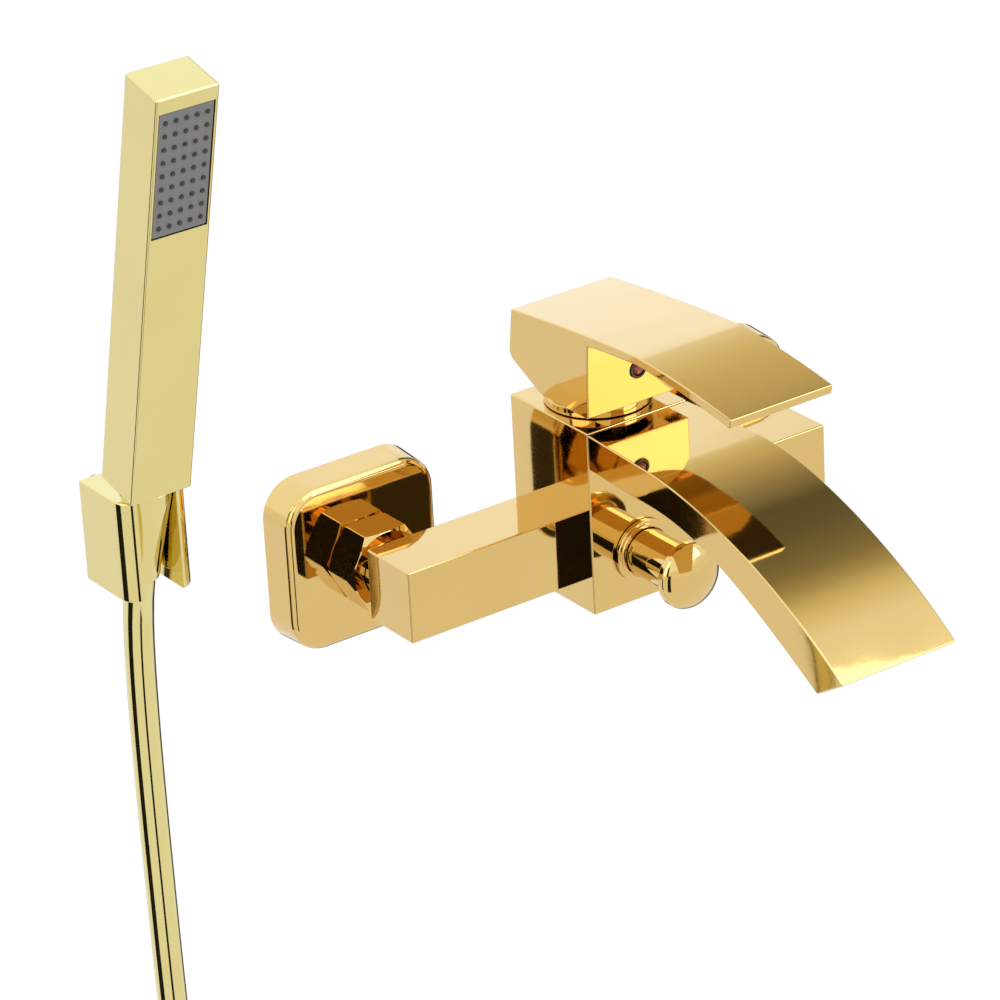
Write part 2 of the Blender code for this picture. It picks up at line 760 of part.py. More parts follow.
def ribbon(sections, half_width, first=0.0, second=1.0, offset=0.0):
    """Four-cornered rings, each from a share of the way down its section to another share."""
    rings = []
    for (top, low), half in zip(sections, half_width):
        a = Vector(top).lerp(Vector(low), first)
        b = Vector(top).lerp(Vector(low), second)
        rings.append(
            [
                (offset - half, a.x, a.y),
                (offset + half, a.x, a.y),
                (offset + half, b.x, b.y),
                (offset - half, b.x, b.y),
            ]
        )
    return lofted(rings)


def make_spout(finishes):
    sections = spout_sections()
    root_half = BLOCK_WIDTH / 2
    tip_half = SPOUT_TIP_WIDTH / 2
    flare = SPOUT_FLARE_END - BLOCK_FRONT

    def half_at(y):
        share = min(1.0, max(0.0, (-y - BLOCK_FRONT) / flare))
        return root_half + (tip_half - root_half) * share * (2 - share)

    halves = [half_at(top[0]) for top, _ in sections]
    spout = place("waterfall_spout", ribbon(sections, halves), finishes["gold"])
    soften(spout, 0.5)
    mouth_low, mouth_high = mouth_heights()
    tongue_back = -(BLOCK_FRONT - PASSAGE_WALL) - GAP
    tongue = box(
        (-TONGUE_HALF_WIDTH, -(BLOCK_FRONT + 4), mouth_low + GAP),
        (TONGUE_HALF_WIDTH, tongue_back, mouth_high - GAP),
    )
    join(spout, tongue)

    duct = []
    widths = []
    steps = len(sections) - 1
    for i, (top, low) in enumerate(sections):
        share = min(1.0, i / (steps * 0.6))
        first = 0.46 + (0.3 - 0.46) * share
        second = 0.78 + (0.72 - 0.78) * share
        a = Vector(top).lerp(Vector(low), first)
        b = Vector(top).lerp(Vector(low), second)
        duct.append((a, b))
        widths.append(TONGUE_HALF_WIDTH - 1.4 + (tip_half - DUCT_WALL - TONGUE_HALF_WIDTH + 1.4) * share)
    entry = [(Vector((tongue_back + 3, point.y))) for point in duct[0]]
    past = [end + (end - before) * 0.5 for end, before in zip(duct[-1], duct[-2])]
    cut(spout, ribbon([tuple(entry)] + duct + [tuple(past)], [widths[0]] + widths + [widths[-1]]))

    # Flow straightener: a slotted plastic block inside the duct's mouth
    inset = 0.07
    back, front = [(a.lerp(b, inset), b.lerp(a, inset)) for a, b in duct[-2:]]
    half = widths[-1] - GAP
    insert = place("flow_straightener", ribbon([back, front], [half] * 2), finishes["plastic"])
    pitch = 2 * half / STRAIGHTENER_SLOTS
    before = tuple(a * 1.5 - b * 0.5 for a, b in zip(back, front))
    beyond = tuple(b * 1.5 - a * 0.5 for a, b in zip(back, front))
    for i in range(STRAIGHTENER_SLOTS):
        x = (i - (STRAIGHTENER_SLOTS - 1) / 2) * pitch
        cut(insert, ribbon([before, beyond], [pitch / 2 - 0.5] * 2, 0.2, 0.8, x))


# ---- diverter -------------------------------------------------------------------------------


def make_diverter(finishes):
    axis = (0, 0, DIVERTER_HEIGHT)
    face = BLOCK_FRONT + GAP
    floor_back = BLOCK_FRONT - BONNET_DEPTH
    floor_front = floor_back + 2.7
    neck_bore = NECK_RADIUS + GAP
    stem_bore = DIVERTER_STEM_RADIUS + GAP
    bonnet = turned(
        [
            (neck_bore, face + 2.2),
            (BONNET_RADIUS - 0.6, face + 2.2),
            (BONNET_RADIUS - 0.6, face + 1.6),
            (BONNET_FLANGE_RADIUS, face + 1.6),
            (BONNET_FLANGE_RADIUS, face),
            (BONNET_RADIUS, face),
            (BONNET_RADIUS, floor_back),
            (stem_bore, floor_back),
            (stem_bore, floor_front),
            (neck_bore, floor_front),
        ],
        axis,
        "-Y",
    )
    place("diverter_bonnet", bonnet, finishes["gold"])

    pull = axis_frame("diverter_pull_axis", axis)
    neck_back = floor_front + GAP
    flange = neck_back + NECK_LENGTH
    dome = bezier([(KNOB_RADIUS, flange + 2.6), (KNOB_RADIUS - 0.4, flange + 4.6), (6.0, flange + 7.6),
                   (0.0, flange + 7.9)], 8)
    stem_front = flange - 8.0
    knob = turned(
        [
            (stem_bore, neck_back),
            (NECK_RADIUS, neck_back),
            (NECK_RADIUS, flange - 0.8),
            (NECK_RADIUS + 0.8, flange),
            (KNOB_RADIUS - 0.5, flange),
            (KNOB_RADIUS, flange + 0.5),
        ]
        + dome
        + [(0.0, stem_front + GAP), (stem_bore, stem_front + GAP)],
        along="-Y",
    )
    place("diverter_knob", knob, finishes["gold"], pull)

    valve_back = floor_back - 13.3
    valve_front = valve_back + 2.4
    stem = turned(
        [
            (0.0, valve_back - GAP - 1.8),
            (3.2, valve_back - GAP - 1.8),
            (3.2, valve_back - GAP),
            (DIVERTER_STEM_RADIUS, valve_back - GAP),
            (DIVERTER_STEM_RADIUS, stem_front),
            (0.0, stem_front),
        ],
        along="-Y",
        sides=24,
    )
    place("diverter_stem", stem, finishes["steel"], pull)
    valve = ring(stem_bore, CHAMBER_RADIUS - 0.6, valve_back, valve_front, along="-Y", sides=24)
    place("diverter_valve_disc", valve, finishes["rubber"], pull)
    make_spring(valve_front + GAP, floor_back - GAP, axis, finishes)


def make_spring(back, front, axis, finishes):
    """A coil spring about the diverter's stem, from the valve disc to the bonnet's floor."""
    first = back + SPRING_WIRE
    last = front - SPRING_WIRE
    per_turn = 12
    count = SPRING_TURNS * per_turn + 1
    curve = bpy.data.curves.new("diverter_spring", "CURVE")
    curve.dimensions = "3D"
    curve.bevel_depth = SPRING_WIRE * MM
    curve.bevel_resolution = 1
    curve.use_fill_caps = True
    spline = curve.splines.new("POLY")
    spline.points.add(count - 1)
    for i, point in enumerate(spline.points):
        a = 2 * math.pi * i / per_turn
        h = first + (last - first) * i / (count - 1)
        x = SPRING_RADIUS * math.cos(a) + axis[0]
        z = SPRING_RADIUS * math.sin(a) + axis[2]
        point.co = (x * MM, -h * MM, z * MM, 1.0)
    made = bpy.data.objects.new("diverter_spring", curve)
    curve.materials.append(finishes["steel"])
    bpy.context.scene.collection.objects.link(made)


# ---- hand shower ----------------------------------------------------------------------------


def make_hand_shower(finishes):
    lift = axis_frame("hand_shower_axis", (SHOWER_X, SHOWER_Y, SHOWER_Z), SHOWER_LEAN)
    half_x = SHOWER_WIDTH / 2
    half_y = SHOWER_DEPTH / 2
    casing = place(
        "shower_casing",
        box((-half_x, -half_y, 0), (half_x, half_y, SHOWER_LENGTH)),
        finishes["gold"],
        lift,
    )
    soften(casing, 0.9)
    plate_top = SHOWER_LENGTH - PLATE_FROM_TOP
    plate_low = plate_top - PLATE_HEIGHT
    half_plate = PLATE_WIDTH / 2
    front = -half_y
    recess_back = front + PLATE_THICKNESS + 3.0
    recess = box(
        (-half_plate - GAP, front - 1, plate_low - GAP), (half_plate + GAP, recess_back, plate_top + GAP)
    )
    inner = box(
        (-half_x + SHOWER_WALL + 1.5, recess_back - 1, plate_low + 2.5),
        (half_x - SHOWER_WALL - 1.5, half_y - SHOWER_WALL, plate_top - 2.5),
    )
    channel = rod((0, 0, -1), (0, 0, plate_low + 6), SHOWER_THREAD_RADIUS + GAP, 24)
    cut(casing, recess, inner, channel)

    plate = place(
        "spray_plate",
        box((-half_plate, front + 0.2, plate_low), (half_plate, front + 0.2 + PLATE_THICKNESS, plate_top)),
        finishes["grey"],
        lift,
    )
    mat_front = front + 0.2 + PLATE_THICKNESS + GAP
    mat_back = recess_back - GAP
    mat = place(
        "nozzle_mat",
        box((-half_plate, mat_front, plate_low), (half_plate, mat_back, plate_top)),
        finishes["rubber"],
        lift,
    )
    centre = (plate_low + plate_top) / 2
    holes = bmesh.new()
    nozzles = bmesh.new()
    for column in range(NOZZLE_COLUMNS):
        for row in range(NOZZLE_ROWS):
            x = (column - (NOZZLE_COLUMNS - 1) / 2) * NOZZLE_STEP_X
            z = centre + (row - (NOZZLE_ROWS - 1) / 2) * NOZZLE_STEP_Z
            add_peg(holes, x, z, front - 1, mat_front - 0.1, NOZZLE_RADIUS + 0.25)
            add_peg(nozzles, x, z, front - 0.35, mat_back - 0.6, NOZZLE_RADIUS)
    cut(plate, holes)
    join(mat, nozzles)

    inlet = ring(
        SHOWER_THREAD_RADIUS - 1.6,
        SHOWER_THREAD_RADIUS,
        -SHOWER_THREAD_LENGTH,
        SHOWER_THREAD_LENGTH,
        sides=24,
    )
    place("shower_inlet_thread", inlet, finishes["brass"], lift)

    seat = -SHOWER_THREAD_LENGTH - GAP - 1.5
    washer = ring(
        SHOWER_THREAD_RADIUS - 1.6, SHOWER_THREAD_RADIUS, seat, seat + 1.5, sides=24
    )
    place("hose_top_washer", washer, finishes["rubber"], lift)
    cone = turned(
        [
            (SHOWER_THREAD_RADIUS + GAP, -GAP),
            (CONE_TOP_RADIUS - 0.6, -GAP),
            (CONE_TOP_RADIUS, -GAP - 0.6),
            (CONE_TOP_RADIUS, -5.0),
            (cone_radius(-7.0), -7.0),
            (CONE_END_RADIUS, -CONE_LENGTH + 1.0),
            (CONE_END_RADIUS - 0.8, -CONE_LENGTH),
            (2.4, -CONE_LENGTH),
            (2.4, seat - GAP),
            (SHOWER_THREAD_RADIUS + GAP, seat - GAP),
        ]
    )
    place("hose_cone_nut", cone, finishes["gold"], lift)
    return lift


def add_peg(shape, x, z, front, back, radius):
    where = Matrix.Translation((x * MM, (front + back) / 2 * MM, z * MM))
    where = where @ Matrix.Rotation(math.pi / 2, 4, "X")
    bmesh.ops.create_cone(
        shape,
        cap_ends=True,
        segments=6,
        radius1=radius * MM,
        radius2=radius * MM,
        depth=(back - front) * MM,
        matrix=where,
    )


def cone_radius(z):
    """The cone nut's outer radius at a height in the hand shower's frame."""
    share = (-z - 5.0) / (CONE_LENGTH - 6.0)
    return CONE_TOP_RADIUS + (CONE_END_RADIUS - CONE_TOP_RADIUS) * share


# ---- bracket --------------------------------------------------------------------------------


def make_bracket(lift, finishes):
    low = BRACKET_TOP - BRACKET_HEIGHT
    half = BRACKET_WIDTH / 2
    corner = BRACKET_CORNER
    outline = [(SHOWER_X + half, -PLATE_GAP), (SHOWER_X - half, -PLATE_GAP)]
    for sign, start in ((-1, math.pi), (1, 1.5 * math.pi)):
        for step in range(7):
            a = start + step / 6 * math.pi / 2
            x = SHOWER_X + sign * (half - corner) + corner * math.cos(a)
            y = -(BRACKET_DEPTH - corner) + corner * math.sin(a)
            outline.append((x, y))
    bracket = place(
        "wall_bracket",
        lofted([[(x, y, z) for x, y in outline] for z in (low, BRACKET_TOP)]),
        finishes["gold"],
    )
    soften(bracket, 0.5)
    socket = turned(
        [
            (0.0, -CONE_LENGTH - 12),
            (CONE_END_RADIUS + GAP - 0.5, -CONE_LENGTH - 12),
            (cone_radius(-7.0) + GAP, -7.0),
            (CONE_TOP_RADIUS + GAP, -5.0),
            (CONE_TOP_RADIUS + GAP, 12.0),
            (0.0, 12.0),
        ]
    )
    # The slot leans with the shower, so that the hose passes up through it
    slot_half = BRACKET_SLOT / 2
    slot = box((-slot_half, -BRACKET_DEPTH - 10, -BRACKET_HEIGHT - 15), (slot_half, 0, 15))
    for shape in (socket, slot):
        boolean(bracket, shape, "DIFFERENCE").parent = lift

    backing = box(
        (SHOWER_X - half + 2, -PLATE_GAP + GAP, low + 2), (SHOWER_X + half - 2, 0.0, BRACKET_TOP - 2)
    )
    backing = place("bracket_wall_plate", backing, finishes["steel"])
    middle = (low + BRACKET_TOP) / 2
    for name, sign in (("upper", 1), ("lower", -1)):
        z = middle + sign * BRACKET_SCREW_SPREAD / 2
        hole = disc(1.8 + GAP, -1, 5, middle=(SHOWER_X, 0, z), along="-Y", sides=24)
        pocket = disc(3.7, 2, PLATE_GAP + 2.6, middle=(SHOWER_X, 0, z), along="-Y", sides=24)
        cut(backing, hole)
        cut(bracket, pocket)
        screw = turned(
            [
                (0.0, -BRACKET_SCREW_REACH),
                (0.9, 1.0 - BRACKET_SCREW_REACH),
                (1.8, 4.0 - BRACKET_SCREW_REACH),
                (1.8, PLATE_GAP),
                (3.4, PLATE_GAP),
                (3.2, PLATE_GAP + 1.5),
                (0.0, PLATE_GAP + 2.2),
            ],
            (SHOWER_X, 0, z),
            "-Y",
            16,
        )
        place(name + "_bracket_screw", screw, finishes["steel"])


# ---- hose -----------------------------------------------------------------------------------


def smooth_route(points, count):
    """Count points, evenly spaced, on a Catmull-Rom curve through the route."""
    route = [Vector(point) for point in points]
    ends = [route[0] * 2 - route[1]] + route + [route[-1] * 2 - route[-2]]
    fine = []
    for a, b, c, d in zip(ends, ends[1:], ends[2:], ends[3:]):
        for step in range(12):
            t = step / 12
            fine.append(
                0.5 * (2 * b + (c - a) * t + (2 * a - 5 * b + 4 * c - d) * t**2 + (3 * b - a - 3 * c + d) * t**3)
            )
    fine.append(route[-1])
    lengths = [0.0]
    for a, b in zip(fine, fine[1:]):
        lengths.append(lengths[-1] + (b - a).length)
    made = []
    for i in range(count):
        target = lengths[-1] * i / (count - 1)
        j = next(k for k in range(1, len(fine)) if lengths[k] >= target - 1e-9)
        share = (target - lengths[j - 1]) / (lengths[j] - lengths[j - 1])
        made.append(fine[j - 1].lerp(fine[j], share))
    return made


def make_hose(finishes):
    curve = bpy.data.curves.new("shower_hose", "CURVE")
    curve.dimensions = "3D"
    curve.bevel_depth = HOSE_RADIUS * MM
    curve.bevel_resolution = 2
    curve.use_fill_caps = True
    points = smooth_route(HOSE_ROUTE, HOSE_POINTS)
    spline = curve.splines.new("POLY")
    spline.points.add(len(points) - 1)
    for point, where in zip(spline.points, points):
        point.co = (*(where * MM), 1.0)
    curve.materials.append(finishes["gold"])
    hose = bpy.data.objects.new("shower_hose", curve)
    bpy.context.scene.collection.objects.link(hose)

    # The coil faces out from the wall. The hose runs straight down into its outermost, rearmost turn
    end = Vector(HOSE_ROUTE[-1])
    half = COIL_THICKNESS / 2
    outer = COIL_RADIUS + half
    inner = COIL_RADIUS - half
    drop = math.sqrt(outer**2 - COIL_RADIUS**2) + GAP
    middle = (end.x - COIL_RADIUS - HOSE_RADIUS, end.y - HOSE_RADIUS, end.z - drop)
    profile = [
        (inner, -half + 4),
        (inner + 4, -half),
        (outer - 4, -half),
        (outer, -half + 4),
        (outer, half - 4),
        (outer - 4, half),
        (inner + 4, half),
        (inner, half - 4),
    ]
    place("hose_coil", turned(profile, middle, "-Y", 40), finishes["gold"])

    # Tie: a band round the coil's windings at its lowest place
    low = middle[2] - COIL_RADIUS
    grip = half + GAP
    outside = grip + TIE_BAND
    rise = inner - math.sqrt(inner**2 - (TIE_WIDTH / 2) ** 2)  # the ring curves up under the band
    tie = place(
        "hose_tie",
        box(
            (middle[0] - TIE_WIDTH / 2, middle[1] - outside, low - outside),
            (middle[0] + TIE_WIDTH / 2, middle[1] + outside, low + outside + rise),
        ),
        finishes["dark"],
    )
    soften(tie, 2.0)
    cut(
        tie,
        box(
            (middle[0] - TIE_WIDTH, middle[1] - grip, low - grip),
            (middle[0] + TIE_WIDTH, middle[1] + grip, low + grip + rise),
        ),
    )
    # The far end's hexagonal nut rests inside the coil, on the tie
    centre_z = low + outside + rise + GAP + END_NUT_ACROSS_FLATS / 2
    rings = []
    for x in (middle[0] - END_NUT_LENGTH / 2, middle[0] + END_NUT_LENGTH / 2):
        corners = hexagon(END_NUT_ACROSS_FLATS, 0.0)
        rings.append([(x, middle[1] + across, centre_z + up) for across, _, up in corners])
    nut = place("hose_end_nut", lofted(rings), finishes["gold"])
    soften(nut, 0.6)
    bore_start = (middle[0] - END_NUT_LENGTH / 2 + 4, middle[1], centre_z)
    bore_end = (middle[0] + END_NUT_LENGTH / 2 + 2, middle[1], centre_z)
    cut(nut, rod(bore_start, bore_end, END_NUT_BORE, 24))


def main():
    for old in list(bpy.data.objects):
        bpy.data.objects.remove(old, do_unlink=True)
    finishes = {
        "gold": material("polished_gold", (0.86, 0.66, 0.36), 1.0, 0.08),
        "brass": material("raw_brass", (0.75, 0.57, 0.28), 1.0, 0.35),
        "steel": material("stainless_steel", (0.60, 0.60, 0.60), 1.0, 0.25),
        "plastic": material("white_plastic", (0.82, 0.82, 0.80), 0.0, 0.45),
        "ceramic": material("ceramic", (0.90, 0.89, 0.85), 0.0, 0.20),
        "rubber": material("black_rubber", (0.05, 0.05, 0.05), 0.0, 0.60),
        "fibre": material("fibre_washer", (0.30, 0.12, 0.08), 0.0, 0.80),
        "grey": material("grey_plate", (0.16, 0.16, 0.17), 0.0, 0.40),
        "dark": material("dark_plastic", (0.03, 0.03, 0.03), 0.0, 0.40),
        "red": material("red_enamel", (0.70, 0.03, 0.02), 0.0, 0.25),
    }
    make_wall_connections(finishes)
    make_body(finishes)
    make_shower_outlet(finishes)
    make_cartridge(finishes)
    make_lever(finishes)
    make_spout(finishes)
    make_diverter(finishes)
    lift = make_hand_shower(finishes)
    make_bracket(lift, finishes)
    make_hose(finishes)


main()
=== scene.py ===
import json
import math

import bmesh
import bpy
from mathutils import Matrix, Vector

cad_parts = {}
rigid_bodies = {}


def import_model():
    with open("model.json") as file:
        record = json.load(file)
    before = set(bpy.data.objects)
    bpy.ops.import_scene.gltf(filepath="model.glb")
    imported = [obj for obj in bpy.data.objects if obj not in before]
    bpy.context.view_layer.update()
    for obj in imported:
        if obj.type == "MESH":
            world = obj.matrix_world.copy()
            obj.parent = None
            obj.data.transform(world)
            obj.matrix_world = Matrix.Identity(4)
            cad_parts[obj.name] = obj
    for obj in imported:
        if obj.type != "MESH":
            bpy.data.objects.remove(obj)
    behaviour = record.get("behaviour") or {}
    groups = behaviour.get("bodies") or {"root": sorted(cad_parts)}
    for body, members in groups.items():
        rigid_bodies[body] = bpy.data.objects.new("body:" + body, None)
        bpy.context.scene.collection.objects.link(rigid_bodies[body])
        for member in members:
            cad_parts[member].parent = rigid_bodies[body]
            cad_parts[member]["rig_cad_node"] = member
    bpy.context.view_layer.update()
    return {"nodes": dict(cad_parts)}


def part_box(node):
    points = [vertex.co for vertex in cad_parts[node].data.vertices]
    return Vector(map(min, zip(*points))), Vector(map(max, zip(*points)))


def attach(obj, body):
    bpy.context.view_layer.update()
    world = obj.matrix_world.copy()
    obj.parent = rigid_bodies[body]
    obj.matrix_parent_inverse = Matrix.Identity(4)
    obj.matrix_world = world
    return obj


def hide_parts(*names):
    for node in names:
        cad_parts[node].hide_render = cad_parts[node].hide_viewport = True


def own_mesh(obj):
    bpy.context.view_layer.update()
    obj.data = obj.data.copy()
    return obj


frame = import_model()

mm = 0.001
nodes = frame["nodes"]

# axes that several pieces share, in mm
inletX = 75.0
cartridgeY = -46.1
diverterZ = -2.5
bracketX = -162.0

for old in [thing for thing in bpy.data.objects if "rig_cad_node" not in thing.keys()]:
    if old.type in ("CAMERA", "LIGHT") or old.name == "Cube":
        bpy.data.objects.remove(old)


# camera: stands to the left of the spout and above it, with a long lens
cameraSetup = {
    "place": (-0.8857, -1.2804, 0.7341),  # metres
    "azimuth": -34.37,
    "elevation": 25.49,
    "roll": -3.10,
    "lens": 181.16,
}


def addCamera(setup):
    azimuth = math.radians(setup["azimuth"])
    elevation = math.radians(setup["elevation"])
    roll = math.radians(setup["roll"])
    flat = math.cos(elevation)
    back = Vector((math.sin(azimuth) * flat, -math.cos(azimuth) * flat, math.sin(elevation)))
    right = Vector((0, 0, 1)).cross(back).normalized()
    up = back.cross(right)
    tiltedRight = math.cos(roll) * right + math.sin(roll) * up
    tiltedUp = math.cos(roll) * up - math.sin(roll) * right
    camera = bpy.data.objects.new("studioCamera", bpy.data.cameras.new("studioCamera"))
    camera.data.lens = setup["lens"]
    stand = Matrix((tiltedRight, tiltedUp, back)).transposed().to_4x4()
    stand.translation = setup["place"]
    camera.matrix_world = stand
    bpy.context.scene.collection.objects.link(camera)
    bpy.context.scene.camera = camera


addCamera(cameraSetup)
print("camera placed")


# modelling helpers, all in millimetres until a mesh is made

def deselect():
    bpy.ops.object.select_all(action="DESELECT")


def choose(piece):
    deselect()
    piece.select_set(True)
    bpy.context.view_layer.objects.active = piece


def named(name):
    piece = bpy.context.active_object
    piece.name = name
    piece.data.name = name
    return piece


def addBox(name, low, high):
    deselect()
    size = [(b - a) * mm for a, b in zip(low, high)]
    middle = [(a + b) / 2 * mm for a, b in zip(low, high)]
    bpy.ops.mesh.primitive_cube_add(size=1, location=middle, scale=size)
    piece = named(name)
    bpy.ops.object.transform_apply(location=True, rotation=True, scale=True)
    return piece


def addOutline(name, points, fill):
    # a flat circle whose corners are pulled onto the points
    deselect()
    bpy.ops.mesh.primitive_circle_add(vertices=len(points), fill_type=fill)
    piece = named(name)
    for corner, point in zip(piece.data.vertices, points):
        corner.co = Vector(point) * mm
    return piece


def tidyNormals():
    bpy.ops.mesh.select_all(action="SELECT")
    bpy.ops.mesh.remove_doubles(threshold=1e-6)
    bpy.ops.mesh.normals_make_consistent(inside=False)


def extrudeOutline(name, points, run):
    piece = addOutline(name, points, "NGON")
    bpy.ops.object.mode_set(mode="EDIT")
    bpy.ops.mesh.select_all(action="SELECT")
    bpy.ops.mesh.extrude_region_move(TRANSFORM_OT_translate={"value": Vector(run) * mm})
    tidyNormals()
    bpy.ops.object.mode_set(mode="OBJECT")
    return piece


turnTo = {
    "up": Matrix.Identity(4),
    "out": Matrix.Rotation(math.pi / 2, 4, "X"),  # heights run out from the wall
    "right": Matrix.Rotation(math.pi / 2, 4, "Y"),
    "left": Matrix.Rotation(-math.pi / 2, 4, "Y"),
}


def spinProfile(name, profile, middle=(0, 0, 0), way="up", steps=96):
    # profile points are (radius, height)
    piece = addOutline(name, [(r, 0, h) for r, h in profile], "NOTHING")
    bpy.ops.object.mode_set(mode="EDIT")
    bpy.ops.mesh.select_all(action="SELECT")
    bpy.ops.mesh.spin(steps=steps, angle=2 * math.pi, center=(0, 0, 0), axis=(0, 0, 1))
    tidyNormals()
    bpy.ops.object.mode_set(mode="OBJECT")
    piece.data.transform(Matrix.Translation(Vector(middle) * mm) @ turnTo[way])
    return piece


def roundCorners(points, steps=5):
    # points are (a, b) or (a, b, radius): each radius becomes an arc
    made = []
    for i, point in enumerate(points):
        if len(point) == 2:
            made.append(tuple(point))
            continue
        here = Vector(point[:2])
        before = Vector(points[i - 1][:2]) - here
        after = Vector(points[(i + 1) % len(points)][:2]) - here
        half = before.angle(after) / 2
        reach = point[2] / math.tan(half)
        start = here + before.normalized() * reach
        end = here + after.normalized() * reach
        inward = (before.normalized() + after.normalized()).normalized()
        middle = here + inward * point[2] / math.sin(half)
        first = start - middle
        last = end - middle
        for step in range(steps + 1):
            mixed = first.lerp(last, step / steps).normalized() * point[2]
            made.append(tuple(middle + mixed))
    return made


def bezier(points, count):
    made = []
    for i in range(count):
        row = [Vector(point) for point in points]
        while len(row) > 1:
            row = [a.lerp(b, i / (count - 1)) for a, b in zip(row, row[1:])]
        made.append(tuple(row[0]))
    return made


def ease(share):
    return share * share * (3 - 2 * share)


def between(pair, share):
    return pair[0] + (pair[1] - pair[0]) * share


def useModifier(piece, kind, **settings):
    choose(piece)
    modifier = piece.modifiers.new(kind.title(), kind)
    for name, value in settings.items():
        setattr(modifier, name, value)
    bpy.ops.object.modifier_apply(modifier=modifier.name)


def roundEdges(piece, radius, steps=4, angle=35):
    useModifier(
        piece, "BEVEL", width=radius * mm, segments=steps, limit_method="ANGLE",
        angle_limit=math.radians(angle), use_clamp_overlap=True,
    )


def combine(piece, other, operation):
    useModifier(piece, "BOOLEAN", object=other, operation=operation, solver="EXACT")
    bpy.data.objects.remove(other)


def smoothShade(piece, angle=35):
    choose(piece)
    bpy.ops.object.shade_smooth_by_angle(angle=math.radians(angle))
    useModifier(piece, "WEIGHTED_NORMAL", keep_sharp=True)


def deliver(piece, body, finish, *stands):
    piece.data.materials.clear()
    piece.data.materials.append(finish)
    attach(piece, body)
    if stands:
        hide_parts(*stands)


# materials

def fromHex(code):
    made = []
    for i in (0, 2, 4):
        share = int(code[i:i + 2], 16) / 255
        made.append(share / 12.92 if share <= 0.04045 else ((share + 0.055) / 1.055) ** 2.4)
    return (*made, 1.0)


def addNode(tree, kind, settings=None, links=None):
    node = tree.nodes.new(kind)
    for name, value in (settings or {}).items():
        if isinstance(name, int) or name in node.inputs:
            node.inputs[name].default_value = value
        else:
            setattr(node, name, value)
    for name, source in (links or {}).items():
        tree.links.new(source, node.inputs[name])
    return node


def newMaterial(name):
    made = bpy.data.materials.new(name)
    made.use_nodes = True
    return made, made.node_tree, made.node_tree.nodes["Principled BSDF"]


goldFinish = {
    "smudgeWidth": 28,  # mm, faint cloudiness left by buffing
    "scratchWidth": 0.5,  # mm, real ones are finer: as coarse as they need to show
    "rippleWidth": 9,  # mm, slow waviness of a polished casting
}


def polishedGold(name, bright, deep, ripple, roughest):
    made, tree, surface = newMaterial(name)
    where = addNode(tree, "ShaderNodeTexCoord").outputs["Object"]
    smudge = addNode(
        tree, "ShaderNodeTexNoise",
        {"Scale": 1 / (goldFinish["smudgeWidth"] * mm), "Detail": 3.0}, {"Vector": where},
    )
    tone = addNode(
        tree, "ShaderNodeMix",
        {"data_type": "RGBA", 6: fromHex(deep), 7: fromHex(bright)},
        {"Factor": smudge.outputs["Fac"]},
    )
    tree.links.new(tone.outputs[2], surface.inputs["Base Color"])
    stretched = addNode(
        tree, "ShaderNodeMapping", {"Scale": (1.0, 0.12, 1.0), "Rotation": (0.3, 0.5, 0.8)},
        {"Vector": where},
    )
    scratch = addNode(
        tree, "ShaderNodeTexNoise",
        {"Scale": 1 / (goldFinish["scratchWidth"] * mm), "Detail": 2.0},
        {"Vector": stretched.outputs["Vector"]},
    )
    both = addNode(
        tree, "ShaderNodeMath", {"operation": "MULTIPLY"},
        {0: smudge.outputs["Fac"], 1: scratch.outputs["Fac"]},
    )
    rough = addNode(
        tree, "ShaderNodeMapRange",
        {"From Min": 0.1, "From Max": 0.45, "To Min": 0.03, "To Max": roughest},
        {"Value": both.outputs[0]},
    )
    tree.links.new(rough.outputs["Result"], surface.inputs["Roughness"])
    wave = addNode(
        tree, "ShaderNodeTexNoise",
        {"Scale": 1 / (goldFinish["rippleWidth"] * mm), "Detail": 1.0}, {"Vector": where},
    )
    bump = addNode(
        tree, "ShaderNodeBump", {"Strength": ripple, "Distance": 0.0004},
        {"Height": wave.outputs["Fac"]},
    )
    tree.links.new(bump.outputs["Normal"], surface.inputs["Normal"])
    surface.inputs["Metallic"].default_value = 1.0
    surface.inputs["Coat Weight"].default_value = 0.7  # clear lacquer, pale at a slant
    surface.inputs["Coat Roughness"].default_value = 0.04
    return made


def grained(name, light, dark, grain, metallic, roughness, bumpDepth, coat=0.0):
    # grain is in mm; roughness is (least, most)
    made, tree, surface = newMaterial(name)
    where = addNode(tree, "ShaderNodeTexCoord").outputs["Object"]
    speckle = addNode(
        tree, "ShaderNodeTexNoise", {"Scale": 1 / (grain * mm), "Detail": 4.0}, {"Vector": where},
    )
    tone = addNode(
        tree, "ShaderNodeMix", {"data_type": "RGBA", 6: fromHex(dark), 7: fromHex(light)},
        {"Factor": speckle.outputs["Fac"]},
    )
    tree.links.new(tone.outputs[2], surface.inputs["Base Color"])
    rough = addNode(
        tree, "ShaderNodeMapRange",
        {"From Min": 0.3, "From Max": 0.7, "To Min": roughness[0], "To Max": roughness[1]},
        {"Value": speckle.outputs["Fac"]},
    )
    tree.links.new(rough.outputs["Result"], surface.inputs["Roughness"])
    bump = addNode(
        tree, "ShaderNodeBump", {"Strength": 0.3, "Distance": bumpDepth * mm},
        {"Height": speckle.outputs["Fac"]},
    )
    tree.links.new(bump.outputs["Normal"], surface.inputs["Normal"])
    surface.inputs["Metallic"].default_value = metallic
    surface.inputs["Coat Weight"].default_value = coat
    return made


# cast and buffed: a mirror with soft clouds
gold = polishedGold("goldPlatedBrass", "E2C074", "DBB66A", 0.05, 0.085)
# plated plastic, paler and greener
paleGold = polishedGold("goldPlatedAbs", "E6D78F", "DDCA80", 0.03, 0.09)
# metallic foil under clear vinyl
hoseGold = polishedGold("goldVinylHose", "E8DC96", "DECD84", 0.02, 0.12)
